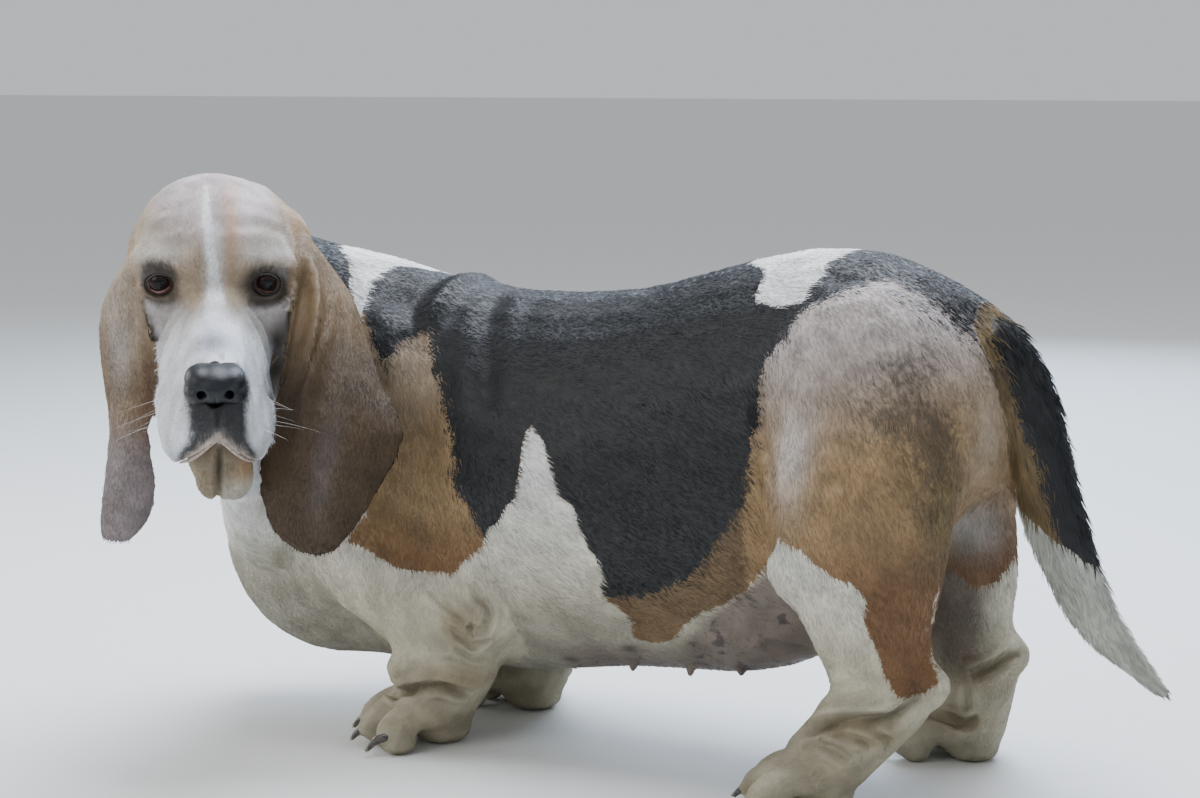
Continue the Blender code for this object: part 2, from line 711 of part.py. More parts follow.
def hind_leg_cutter(side, stifle, hock):
    """The space of a hind leg, from the haunch to below the floor."""
    bm = bmesh.new()
    stations = [
        (0.168, MEDIAN_Y + side * 0.104, 0.322, 0.046, 0.062),
        (0.175, MEDIAN_Y + side * 0.098, 0.272, 0.056, 0.080),
        (0.182, MEDIAN_Y + side * 0.090, 0.205, 0.058, 0.080),
        (hock[0] - 0.036, hock[1] + side * 0.004, 0.145, 0.058, 0.080),
        (hock[0] - 0.040, hock[1], 0.080, 0.062, 0.100),
        (hock[0] - 0.060, hock[1], -0.060, 0.066, 0.130),
    ]
    loft(bm, stations, across=(1, 0, 0), around=24)
    return merged_skin("cutter", bm, 0.005, 10, 420, None)


def tail_cutter():
    bm = bmesh.new()
    y = MEDIAN_Y
    stations = [
        (0.262, y, 0.345, 0.040, 0.040),
        (0.285, y, 0.300, 0.040, 0.037),
        (0.310, y, 0.230, 0.040, 0.045),
        (0.360, y, 0.130, 0.040, 0.060),
        (0.420, y, 0.050, 0.040, 0.060),
    ]
    loft(bm, stations, around=20)
    return merged_skin("cutter", bm, 0.005, 8, 280, None)


def neck_cutter():
    bm = bmesh.new()
    stations = [
        (-0.285, -0.030, 0.300, 0.110, 0.125),
        (-0.318, -0.075, 0.305, 0.110, 0.130),
        (-0.325, -0.140, 0.320, 0.110, 0.150),
        (-0.320, -0.240, 0.330, 0.110, 0.160),
    ]
    loft(bm, stations, around=28)
    return merged_skin("cutter", bm, 0.006, 10, 440, None)


# ---------------------------------------------------------------- assembly


def skin_firmness(point):
    """How far a point keeps its modelled form: all of it on head and feet, little on the trunk."""
    from_face = ((point - (HEAD @ Vector((0.02, 0, -0.03)))).length - 0.095) / 0.05
    from_feet = (point.z - 0.050) / 0.035
    nearest = min(max(min(from_face, from_feet), 0.0), 1.0)
    return 0.80 * (1 - nearest)


def whole_skin(material):
    bm = bmesh.new()
    add_trunk(bm)
    add_neck(bm)
    add_tail(bm)
    add_head(bm)
    for name, side in SIDES.items():
        fore, hind = FORELEGS[name], HIND_LEGS[name]
        add_foreleg(bm, side, fore["elbow"], fore["wrist"])
        add_hind_leg(bm, side, hind["stifle"], hind["hock"])
        fore_foot = foot_place(fore["foot"], fore["turn"])
        hind_foot = foot_place(hind["foot"], hind["turn"])
        add_pastern(bm, fore["wrist"], (1, 0, 0), fore_foot, 0.033, 0.036)
        add_pastern(bm, Vector(hind["hock"]) - Vector((0.014, 0, 0.006)), (1, 0, 1), hind_foot, 0.029, 0.034)
        add_foot(bm, fore_foot, 1.0)
        add_foot(bm, hind_foot, 0.9)
    return merged_skin("torso", bm, SKIN_VOXEL, 34, SKIN_TRIANGLES, material, skin_firmness)


def part_the_legs(torso, coat, pale):
    for name, side in SIDES.items():
        fore, hind = FORELEGS[name], HIND_LEGS[name]
        leg = cut_out(torso, "foreleg_" + name, foreleg_cutter(side, fore["elbow"], fore["wrist"]), pale)
        x, y, z = fore["wrist"]
        parted(leg, "forepaw_" + name, (x, y, z - 0.010), (0.25, 0, -1), pale)
        leg = cut_out(torso, "hindleg_" + name, hind_leg_cutter(side, hind["stifle"], hind["hock"]), coat)
        x, y, z = hind["hock"]
        parted(leg, "hindpaw_" + name, (x - 0.014, y, z - 0.020), (-0.30, 0, -0.95), pale)


def part_the_head(torso, coat):
    head = parted(torso, "head", (-0.322, -0.132, 0.335), (-0.05, -0.92, 0.36), coat)
    cut_out(torso, "neck", neck_cutter(), coat)
    return head


def add_claws():
    for name in SIDES:
        for kind, legs, scale in (("fore", FORELEGS, 1.0), ("hind", HIND_LEGS, 0.9)):
            place = foot_place(legs[name]["foot"], legs[name]["turn"])
            combine(bpy.data.objects[f"{kind}paw_{name}"], make_claws(place, scale), "UNION")


def stand_on_origin():
    """Moves everything so that the middle of the hound's box, at floor level, is the origin."""
    objects = list(bpy.context.scene.objects)
    corners = [vert.co for obj in objects for vert in obj.data.vertices]
    low = [min(corner[axis] for corner in corners) for axis in range(3)]
    high = [max(corner[axis] for corner in corners) for axis in range(3)]
    shift = Vector((-(low[0] + high[0]) / 2, -(low[1] + high[1]) / 2, -low[2]))
    for obj in objects:
        obj.data.transform(Matrix.Translation(shift))
        obj.data.shade_smooth()


def main():
    clear_scene()
    coat = finish("coat", (0.42, 0.26, 0.14))
    pale = finish("pale_coat", (0.80, 0.77, 0.72))
    leather = finish("nose_leather", (0.03, 0.03, 0.035), 0.45)
    eye = finish("eye", (0.06, 0.03, 0.02), 0.08)

    torso = whole_skin(coat)
    slice_off(torso, Vector((0, 0, SOLE_PRESS)), Vector((0, 0, -1)))
    part_the_legs(torso, coat, pale)
    cut_out(torso, "tail", tail_cutter(), coat)
    combine(torso, make_teats(), "UNION")
    head = part_the_head(torso, coat)

    for name, left in (("eye_left", 1), ("eye_right", -1)):
        combine(head, eye_opening(left), "DIFFERENCE")
        combine(head, grown(make_eye(name, left, eye)), "DIFFERENCE")
    nose = make_nose(leather)
    combine(head, grown(nose), "DIFFERENCE")
    for left in (1, -1):
        combine(nose, nostril(left), "DIFFERENCE")
    combine(head, mouth_notch(), "DIFFERENCE")
    jaw = merged_skin("lower_jaw", jaw_masses(), 0.0026, 4, 360, pale)
    combine(head, grown(jaw), "DIFFERENCE")
    left_pleat = (0, 0.004, 0.012, 0.015, 0.010, 0.003, 0, 0, 0)
    combine(make_ear("ear_left", LEFT_EAR, 1, left_pleat, coat), grown(head), "DIFFERENCE")
    combine(make_ear("ear_right", RIGHT_EAR, -1, (0,) * 9, coat), grown(head), "DIFFERENCE")
    add_claws()
    stand_on_origin()


main()
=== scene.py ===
"""A life-size museum model of a basset hound, standing with its head turned back over its left shoulder.

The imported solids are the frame. One hide with a short coat of fine tufts goes over them, then the eyes, the
nose leather, the lips, the whiskers and the claws. Metres, +Z up; the hound faces -X, its left side is at -Y.
"""

import math

import bmesh
import bpy
import numpy as np
from mathutils import Matrix, Vector
from mathutils.bvhtree import BVHTree


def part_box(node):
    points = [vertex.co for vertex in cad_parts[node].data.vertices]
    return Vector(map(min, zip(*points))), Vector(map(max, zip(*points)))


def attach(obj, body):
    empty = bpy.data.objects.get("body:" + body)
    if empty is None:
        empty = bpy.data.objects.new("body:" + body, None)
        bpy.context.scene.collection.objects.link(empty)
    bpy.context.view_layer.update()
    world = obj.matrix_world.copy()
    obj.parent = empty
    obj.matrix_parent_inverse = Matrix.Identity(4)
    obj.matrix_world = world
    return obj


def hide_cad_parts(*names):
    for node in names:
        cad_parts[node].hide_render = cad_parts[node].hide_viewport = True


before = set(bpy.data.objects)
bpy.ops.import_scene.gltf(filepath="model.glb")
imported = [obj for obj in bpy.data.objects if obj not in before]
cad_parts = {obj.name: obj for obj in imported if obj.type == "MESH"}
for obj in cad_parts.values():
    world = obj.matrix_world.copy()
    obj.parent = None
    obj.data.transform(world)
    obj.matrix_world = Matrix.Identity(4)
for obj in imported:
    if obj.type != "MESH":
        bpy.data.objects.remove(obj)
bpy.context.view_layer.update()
bpy.ops.object.select_all(action="DESELECT")

# ------------------------------------------------------------------------------------------------- the hide
# The hound's skin: one piece over trunk, neck, head, ears, legs, feet and tail, loose at the joints. It is
# cast over copies of the flesh parts, melted together and smoothed, and lies the coat's depth inside them.

FLESH = (
    "torso neck head lower_jaw ear_left ear_right tail foreleg_left foreleg_right forepaw_left forepaw_right "
    "hindleg_left hindleg_right hindpaw_left hindpaw_right"
).split()
HEAD_TURN = Matrix.Rotation(math.radians(-52.4), 4, "Z") @ Matrix.Rotation(math.radians(13.3), 4, "Y")
HEAD_TURN = HEAD_TURN @ Matrix.Rotation(math.radians(-0.8), 4, "X")
EYE_AT = Vector((-0.0132, 0.0382, 0))  # the left eye, forward, to the left and up from between the eyes
MEDIAN = -0.012  # the plane that halves the trunk, in the maker's own measures

# Places below are in the maker's own measures, from the floor under the trunk. ORIGIN carries them over.
low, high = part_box("eye_left")
HEAD_AT = Vector((-0.275, -0.226, 0.369))
ORIGIN = (low + high) / 2 - (HEAD_AT + HEAD_TURN @ EYE_AT)
HEAD = Matrix.Translation(HEAD_AT + ORIGIN) @ HEAD_TURN
CASTING_GRAIN = 0.0018
# How deep the hide lies inside the solids, which reach to the coat's outside.
COAT_DEPTH = {"head": 0.0008, "lower_jaw": 0.0008, "ear_left": 0.0007, "ear_right": 0.0007, "tail": 0.0022}
COAT_DEPTH.update({name: 0.0016 for name in ("torso", "neck", "hindleg_left", "hindleg_right")})
LEG_COAT_DEPTH = 0.0012
# How freely each part is smoothed; the others give fully.
GIVE = {"head": 0.28, "lower_jaw": 0.35, "ear_left": 0.35, "ear_right": 0.35, "tail": 0.8}
GIVE.update({name: 0.32 for name in FLESH if "paw" in name})
HIDE_FACES = 138000  # what thinning leaves, before the long edges are split again
LONG_EDGES = (0.030, 0.018, 0.011, 0.0085)  # edges longer than these are split, the longest first


def merged(obj):
    """Its loose triangles joined at their corners, and its object the active one."""
    bpy.ops.object.select_all(action="DESELECT")
    bpy.context.view_layer.objects.active = obj
    obj.select_set(True)
    bpy.ops.object.mode_set(mode="EDIT")
    bpy.ops.mesh.select_all(action="SELECT")
    bpy.ops.mesh.remove_doubles(threshold=0.00001)
    bpy.ops.object.mode_set(mode="OBJECT")
    return obj


def copy_of(node, name):
    """A CAD node's mesh as a new object, with its triangles joined."""
    obj = bpy.data.objects.new(name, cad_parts[node].data.copy())
    bpy.context.collection.objects.link(obj)
    return merged(obj)


def apply(obj, kind, **settings):
    """Adds a modifier with those settings and applies it."""
    modifier = obj.modifiers.new(kind.lower(), kind)
    for name, value in settings.items():
        setattr(modifier, name, value)
    bpy.context.view_layer.objects.active = obj
    bpy.ops.object.modifier_apply(modifier=modifier.name)


def places(mesh):
    """The mesh's points, one row each."""
    co = np.empty(len(mesh.vertices) * 3, np.float32)
    mesh.vertices.foreach_get("co", co)
    return co.reshape(-1, 3).astype(float)


def set_places(mesh, co):
    mesh.vertices.foreach_set("co", co.astype(np.float32).ravel())
    mesh.update()


def normals(mesh):
    """The outward direction at each of the mesh's points."""
    out = np.empty(len(mesh.vertices) * 3, np.float32)
    mesh.vertex_normals.foreach_get("vector", out)
    return out.reshape(-1, 3).astype(float)


def parts_near(co):
    """For every point, the number in FLESH of the part that it lies on."""
    owner = []
    corners = []
    for number, node in enumerate(FLESH):
        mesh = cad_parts[node].data
        mesh.calc_loop_triangles()
        base = places(mesh)
        tris = np.empty(len(mesh.loop_triangles) * 3, np.int32)
        mesh.loop_triangles.foreach_get("vertices", tris)
        corners.append(base[tris])
        owner += [number] * (len(tris) // 3)
    corners = np.concatenate(corners)
    faces = np.arange(len(corners)).reshape(-1, 3)
    tree = BVHTree.FromPolygons(corners.tolist(), faces.tolist())
    owner = np.array(owner)
    return owner[[tree.find_nearest(point)[2] for point in co.tolist()]]


def of_parts(part, sizes, other):
    """A size for every point, looked up by the part that it lies on."""
    table = np.array([sizes.get(name, other) for name in FLESH])
    return table[part]


def spread(mesh, values, rounds):
    """A per-point value, averaged over its neighbours that many times."""
    edges = np.empty(len(mesh.edges) * 2, np.int32)
    mesh.edges.foreach_get("vertices", edges)
    a, b = edges.reshape(-1, 2).T
    count = np.bincount(a, minlength=len(values)) + np.bincount(b, minlength=len(values))
    for _ in range(rounds):
        total = np.bincount(a, values[b], len(values)) + np.bincount(b, values[a], len(values))
        values = 0.5 * values + 0.5 * total / np.maximum(count, 1)
    return values


def relax(mesh, give, rounds):
    """Smooths the skin, by up to give at each point, and swells it back so that it keeps its bulk."""
    co = places(mesh)
    edges = np.empty(len(mesh.edges) * 2, np.int32)
    mesh.edges.foreach_get("vertices", edges)
    a, b = edges.reshape(-1, 2).T
    n = len(co)
    count = np.maximum(np.bincount(a, minlength=n) + np.bincount(b, minlength=n), 1)
    for stroke in range(rounds * 2):
        force = 0.62 if stroke % 2 == 0 else -0.56
        for axis in range(3):
            values = co[:, axis]
            total = np.bincount(a, values[b], n) + np.bincount(b, values[a], n)
            co[:, axis] = values + force * give * (total / count - values)
    set_places(mesh, co)


hide_parts = [copy_of(node, "hide_" + node) for node in FLESH]
bpy.ops.object.select_all(action="DESELECT")
for piece in hide_parts:
    piece.select_set(True)
bpy.context.view_layer.objects.active = hide_parts[0]
bpy.ops.object.join()
hide = bpy.context.view_layer.objects.active
hide.name = hide.data.name = "hide"
hide.data.materials.clear()
# Swollen a little, so that the parts meet across the thin cuts between them and melt into one casting.
apply(hide, "DISPLACE", strength=0.0005, mid_level=0)
apply(hide, "REMESH", mode="VOXEL", voxel_size=CASTING_GRAIN)
part = parts_near(places(hide.data))
give = spread(hide.data, of_parts(part, GIVE, 1.0), 12)
relax(hide.data, give, 26)


def on_both_sides(middle, half, depth, *path):
    """A fold, and the same one mirrored in the plane y = middle."""
    return (half, depth, *path), (half, depth, *((x, 2 * middle - y, z) for x, y, z in path))


# Wrinkles and folds, each with its half width, its depth and a path on the skin in the maker's measures. A
# groove has a swollen lip on both sides; a negative depth makes it a standing roll.
WRINKLES = [
    # behind the shoulder
    (0.0100, 0.0026, (-0.150, -0.024, 0.356), (-0.141, -0.058, 0.340), (-0.127, -0.090, 0.312),
     (-0.118, -0.108, 0.270)),
    (0.0090, 0.0006, (-0.116, -0.030, 0.352), (-0.106, -0.076, 0.322), (-0.099, -0.104, 0.280)),
    (0.0100, 0.0024, (-0.150, 0.004, 0.356), (-0.141, 0.036, 0.340), (-0.127, 0.068, 0.312),
     (-0.118, 0.086, 0.270)),
    # elbow of the near foreleg: a crease from above, the elbow's flap, and a nest of short folds under it
    (0.0034, 0.0038, (-0.166, -0.121, 0.137), (-0.155, -0.119, 0.127), (-0.147, -0.118, 0.121),
     (-0.139, -0.116, 0.116), (-0.131, -0.111, 0.109)),
    (0.0030, 0.0046, (-0.129, -0.106, 0.139), (-0.125, -0.105, 0.128), (-0.119, -0.104, 0.123),
     (-0.115, -0.104, 0.117), (-0.116, -0.105, 0.109), (-0.120, -0.105, 0.102), (-0.126, -0.107, 0.103)),
    (0.0024, 0.0046, (-0.131, -0.110, 0.107), (-0.128, -0.110, 0.104), (-0.126, -0.110, 0.101)),
    (0.0026, 0.0038, (-0.143, -0.116, 0.104), (-0.136, -0.111, 0.095), (-0.130, -0.107, 0.089),
     (-0.122, -0.102, 0.092), (-0.117, -0.101, 0.094)),
    (0.0026, 0.0036, (-0.141, -0.113, 0.089), (-0.134, -0.108, 0.082), (-0.128, -0.101, 0.078),
     (-0.121, -0.092, 0.080)),
    (0.0050, 0.0018, (-0.184, -0.124, 0.120), (-0.175, -0.123, 0.110), (-0.169, -0.121, 0.101),
     (-0.168, -0.118, 0.088), (-0.170, -0.117, 0.078)),
    # hems of the loose sleeves over the wrists
    (0.0040, 0.0100, (-0.206, -0.092, 0.038), (-0.198, -0.102, 0.041), (-0.192, -0.107, 0.044),
     (-0.183, -0.111, 0.049), (-0.173, -0.112, 0.054), (-0.164, -0.112, 0.055), (-0.156, -0.110, 0.056),
     (-0.149, -0.107, 0.054), (-0.143, -0.101, 0.050), (-0.138, -0.092, 0.047)),
    (0.0046, 0.0024, (-0.184, -0.118, 0.063), (-0.169, -0.118, 0.072), (-0.161, -0.116, 0.074),
     (-0.146, -0.112, 0.075), (-0.136, -0.106, 0.073), (-0.129, -0.098, 0.070)),
    (0.0036, 0.0060, (-0.198, -0.058, 0.042), (-0.182, -0.044, 0.048), (-0.162, -0.042, 0.052),
     (-0.142, -0.052, 0.050)),
    (0.0036, 0.0066, (-0.196, 0.076, 0.042), (-0.182, 0.084, 0.050), (-0.162, 0.088, 0.055),
     (-0.142, 0.080, 0.052)),
    (0.0036, 0.0060, (-0.190, 0.022, 0.046), (-0.172, 0.012, 0.052), (-0.150, 0.014, 0.054),
     (-0.134, 0.024, 0.050)),
    (0.0034, 0.0030, (-0.128, 0.086, 0.128), (-0.118, 0.082, 0.118), (-0.116, 0.080, 0.106),
     (-0.124, 0.080, 0.094)),
    (0.0028, 0.0030, (-0.140, 0.090, 0.100), (-0.130, 0.084, 0.090), (-0.118, 0.076, 0.092)),
    # hock of the near hind leg: one thick roll, with soft hollows over it and a cluster of folds under it
    (0.0044, 0.0115, (0.147, -0.106, 0.056), (0.156, -0.115, 0.063), (0.164, -0.117, 0.068),
     (0.178, -0.120, 0.073), (0.192, -0.123, 0.076), (0.205, -0.122, 0.078), (0.214, -0.120, 0.081),
     (0.222, -0.115, 0.088), (0.230, -0.108, 0.096)),
    (0.0055, 0.0034, (0.150, -0.103, 0.076), (0.155, -0.106, 0.082), (0.167, -0.113, 0.091),
     (0.178, -0.118, 0.096), (0.190, -0.120, 0.099), (0.202, -0.120, 0.099)),
    (0.0044, 0.0024, (0.158, -0.112, 0.101), (0.167, -0.114, 0.107), (0.180, -0.118, 0.111)),
    (0.0038, 0.0056, (0.145, -0.117, 0.050), (0.157, -0.121, 0.055), (0.167, -0.123, 0.054),
     (0.176, -0.124, 0.050), (0.184, -0.121, 0.046)),
    (0.0030, 0.0052, (0.164, -0.119, 0.060), (0.174, -0.120, 0.064), (0.183, -0.122, 0.065),
     (0.192, -0.122, 0.062), (0.199, -0.120, 0.056)),
    (0.0030, 0.0050, (0.200, -0.122, 0.070), (0.207, -0.119, 0.066), (0.209, -0.115, 0.060),
     (0.206, -0.110, 0.052)),
    (0.0038, 0.0056, (0.158, -0.070, 0.058), (0.180, -0.062, 0.068), (0.202, -0.066, 0.076),
     (0.220, -0.078, 0.084)),
    # hock of the far hind leg
    (0.0040, 0.0080, (0.216, 0.040, 0.072), (0.224, 0.042, 0.077), (0.234, 0.048, 0.082),
     (0.241, 0.054, 0.088), (0.250, 0.059, 0.090)),
    (0.0036, 0.0080, (0.184, 0.040, 0.040), (0.199, 0.039, 0.039), (0.207, 0.039, 0.036),
     (0.214, 0.042, 0.035), (0.222, 0.046, 0.040)),
    (0.0032, 0.0034, (0.214, 0.042, 0.064), (0.212, 0.042, 0.055), (0.215, 0.043, 0.046)),
    (0.0042, 0.0070, (0.162, 0.090, 0.050), (0.184, 0.102, 0.060), (0.206, 0.102, 0.064),
     (0.226, 0.094, 0.074)),
    (0.0034, 0.0030, (0.168, 0.098, 0.040), (0.188, 0.104, 0.046), (0.206, 0.098, 0.046)),
    # thigh and flank, the groove beside the tail and the fold under the rump
    (0.0050, 0.0036, (0.099, -0.094, 0.292), (0.103, -0.100, 0.271), (0.112, -0.109, 0.255),
     (0.121, -0.120, 0.240), (0.128, -0.127, 0.220)),
    (0.0070, 0.0016, (0.138, -0.127, 0.252), (0.148, -0.134, 0.237), (0.154, -0.138, 0.225)),
    (0.0070, 0.0014, (0.160, -0.137, 0.238), (0.171, -0.136, 0.243), (0.191, -0.133, 0.248)),
    *on_both_sides(MEDIAN, 0.0046, 0.0040, (0.256, -0.046, 0.318), (0.261, -0.044, 0.305),
     (0.263, -0.041, 0.285), (0.264, -0.036, 0.260), (0.263, -0.025, 0.236)),
    *on_both_sides(MEDIAN, 0.0050, 0.0026, (0.247, -0.085, 0.274), (0.246, -0.086, 0.261),
     (0.247, -0.080, 0.250), (0.247, -0.057, 0.240)),
    (0.0060, 0.0026, (0.108, 0.070, 0.292), (0.117, 0.084, 0.270), (0.126, 0.098, 0.246),
     (0.128, 0.104, 0.218)),
    # loose skin down the breast
    (0.0060, 0.0032, (-0.335, -0.060, 0.270), (-0.330, -0.050, 0.215), (-0.312, -0.040, 0.160),
     (-0.286, -0.034, 0.118)),
    (0.0060, 0.0028, (-0.318, -0.096, 0.262), (-0.300, -0.082, 0.205), (-0.280, -0.075, 0.160),
     (-0.262, -0.066, 0.122)),
    (0.0055, 0.0024, (-0.345, -0.020, 0.250), (-0.336, -0.014, 0.200), (-0.318, -0.010, 0.150)),
    (0.0040, 0.0026, (-0.268, -0.088, 0.150), (-0.252, -0.098, 0.128), (-0.236, -0.102, 0.108)),
]
# The same for the ears: the left ear's rolled front stripe, and the line where the right ear turns in.
EAR_WRINKLES = [
    (0.0034, 0.0014, (-0.239, -0.140, 0.382), (-0.227, -0.151, 0.364), (-0.219, -0.161, 0.351),
     (-0.214, -0.174, 0.337), (-0.207, -0.194, 0.323), (-0.206, -0.211, 0.307), (-0.215, -0.215, 0.290),
     (-0.223, -0.218, 0.277)),
    (0.0044, -0.0014, (-0.250, -0.143, 0.392), (-0.233, -0.161, 0.376), (-0.217, -0.180, 0.356),
     (-0.211, -0.195, 0.336), (-0.213, -0.206, 0.315), (-0.221, -0.212, 0.294), (-0.227, -0.216, 0.280)),
    (0.0034, 0.0016, (-0.244, -0.162, 0.382), (-0.239, -0.173, 0.362), (-0.234, -0.187, 0.341),
     (-0.231, -0.199, 0.320), (-0.230, -0.209, 0.296), (-0.229, -0.214, 0.285)),
    (0.0050, 0.0012, (-0.217, -0.148, 0.353), (-0.208, -0.165, 0.333), (-0.200, -0.186, 0.306),
     (-0.197, -0.204, 0.279)),
    (0.0040, 0.0013, (-0.339, -0.243, 0.377), (-0.332, -0.250, 0.364), (-0.331, -0.249, 0.350),
     (-0.332, -0.248, 0.335), (-0.333, -0.247, 0.320), (-0.331, -0.246, 0.305), (-0.327, -0.249, 0.287),
     (-0.321, -0.252, 0.271)),
]
# The side of the ears that shows. A fold dents the whole thin flap there, so its other face bulges as much.
EAR_FACE = np.array((0.45, -0.88, 0.14))
# The same for the head, in its own measures: forward, to the left and up from between the eyes.
HEAD_WRINKLES = [
    (0.0056, 0.0012, (-0.060, 0.000, 0.066), (-0.030, -0.001, 0.057), (-0.008, 0.000, 0.036),
     (0.004, 0.000, 0.014)),
    # brows
    *on_both_sides(0, 0.0042, 0.0010, (-0.012, 0.012, 0.034), (-0.014, 0.026, 0.038),
     (-0.022, 0.042, 0.036), (-0.036, 0.054, 0.026)),
    (0.0044, 0.0006, (-0.026, 0.010, 0.048), (-0.028, 0.026, 0.050), (-0.036, 0.042, 0.044)),
    (0.0044, 0.0007, (-0.030, -0.012, 0.050), (-0.028, -0.026, 0.050), (-0.036, -0.042, 0.044)),
    # down the cheeks from the inner corners of the eyes
    *on_both_sides(0, 0.0032, 0.0024, (0.006, 0.026, -0.012), (0.004, 0.032, -0.024),
     (0.002, 0.037, -0.040), (0.000, 0.040, -0.060)),
    *on_both_sides(0, 0.0032, 0.0020, (0.012, 0.020, -0.012), (0.014, 0.027, -0.026),
     (0.014, 0.033, -0.042), (0.012, 0.037, -0.060)),
    *on_both_sides(0, 0.0034, 0.0020, (-0.010, 0.052, -0.018), (-0.016, 0.056, -0.034),
     (-0.020, 0.058, -0.056)),
    # bags under the eyes
    *on_both_sides(0, 0.0026, 0.0018, (0.004, 0.024, -0.013), (0.003, 0.037, -0.017),
     (-0.006, 0.051, -0.014)),
    # between the nose and the lip, and the crease of the chin
    (0.0018, 0.0022, (0.121, 0.000, -0.050), (0.118, 0.000, -0.060), (0.112, 0.000, -0.072)),
    (0.0024, 0.0030, (0.100, 0.000, -0.084), (0.097, 0.000, -0.098), (0.090, 0.000, -0.116),
     (0.076, 0.000, -0.130)),
    # flews
    *on_both_sides(0, 0.0034, 0.0018, (0.040, 0.037, -0.060), (0.030, 0.039, -0.080),
     (0.016, 0.040, -0.098)),
]


def away(points, path):
    """How far each point is from a path of straight runs, and how far along the path it is nearest."""
    least, along = np.full(len(points), 9.0), np.zeros(len(points))
    for number, (start, end) in enumerate(zip(path[:-1], path[1:])):
        run = np.subtract(end, start)
        share = np.clip((points - start) @ run / max(run @ run, 1e-12), 0, 1)
        off = np.linalg.norm(points - start - share[:, None] * run, axis=1)
        nearer = off < least
        least[nearer] = off[nearer]
        along[nearer] = (number + share[nearer]) / (len(path) - 1)
    return least, along


def rounded(path, steps=4):
    """The same path with its corners eased (Catmull-Rom)."""
    ends = [path[0], *path, path[-1]]
    out = []
    for before, a, b, after in zip(ends, ends[1:], ends[2:], ends[3:]):
        before, a, b, after = (np.array(p, float) for p in (before, a, b, after))
        for i in range(steps):
            t = i / steps
            out.append(
                0.5 * (2 * a + (b - before) * t + (2 * before - 5 * a + 4 * b - after) * t * t
                       + (3 * a - 3 * b + after - before) * t**3)
            )
    return out + [np.array(path[-1], float)]


def wrinkled(points, folds, place, tree):
    """How far out the skin moves at each point for those folds. A fold runs out softly at its ends."""
    move = np.zeros(len(points))
    for half, depth, *path in folds:
        path = np.array([tree.find_nearest(place @ Vector(spot))[0] for spot in rounded(path)])
        near = np.all((points > path.min(0) - 4 * half) & (points < path.max(0) + 4 * half), axis=1)
        off, along = away(points[near], path)
        off /= half
        strength = depth * np.sqrt(np.clip(np.minimum(along, 1 - along) * 5, 0.0, 1))
        groove, lip = np.exp(-(off**2)), np.exp(-((off - 1.9) ** 2) / 0.9)
        move[near] += strength * (0.40 * lip - groove)
    return move


def head_measures(co):
    """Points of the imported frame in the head's own measures."""
    matrix = np.array(HEAD.inverted())
    return co @ matrix[:3, :3].T + matrix[:3, 3]


skin = hide.data
co = places(skin)
part = parts_near(co)
on_head = (part == FLESH.index("head")) | (part == FLESH.index("lower_jaw"))
on_ear = (part == FLESH.index("ear_left")) | (part == FLESH.index("ear_right"))
out = normals(skin)
for axis in range(3):
    out[:, axis] = spread(skin, out[:, axis], 2)
tree = BVHTree.FromPolygons(co.tolist(), [tuple(face.vertices) for face in skin.polygons])
body_move = wrinkled(co, WRINKLES, Matrix.Translation(ORIGIN), tree)
ear_move = wrinkled(co, EAR_WRINKLES, Matrix.Translation(ORIGIN), tree) * np.clip(3 * out @ EAR_FACE, -1, 1)
move = np.where(on_ear, ear_move, body_move)
move += np.where(on_head, wrinkled(co, HEAD_WRINKLES, HEAD, tree), 0)
depth = spread(skin, of_parts(part, COAT_DEPTH, LEG_COAT_DEPTH), 10)
set_places(skin, co + out * (move - depth)[:, None])
relax(skin, np.full(len(co), 0.35), 2)

# Thinned, where the plain stretches give up the most. Then no edge is left longer than about a hair, so
# that the markings stored on the points keep their shapes.
apply(hide, "DECIMATE", ratio=min(1, HIDE_FACES / (2 * len(skin.polygons))))
skin = hide.data
even = bmesh.new()
even.from_mesh(skin)
bmesh.ops.triangulate(even, faces=even.faces)
for limit in LONG_EDGES:
    wide = [edge for edge in even.edges if edge.calc_length() > limit]
    bmesh.ops.subdivide_edges(even, edges=wide, cuts=1)
    bmesh.ops.triangulate(even, faces=[face for face in even.faces if len(face.verts) > 3])
even.to_mesh(skin)
even.free()
bpy.ops.object.mode_set(mode="EDIT")
bpy.ops.mesh.select_all(action="SELECT")
bpy.ops.mesh.remove_doubles(threshold=0.00001)
bpy.ops.uv.smart_project(angle_limit=1.15, island_margin=0.0)
bpy.ops.object.mode_set(mode="OBJECT")
skin.uv_layers[0].name = "OFBake"
skin.polygons.foreach_set("use_smooth", [True] * len(skin.polygons))
skin.update()
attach(hide, "root")
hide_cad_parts(*FLESH)

# --------------------------------------------------------------------------------------------- the markings
# Tricolour: tan head and ears, black saddle, tan shoulder and haunch, white collar, chest, belly, legs and
# tail end. Each marking is a patch with a worked edge. Skin and tufts read the same numbers, so they match.

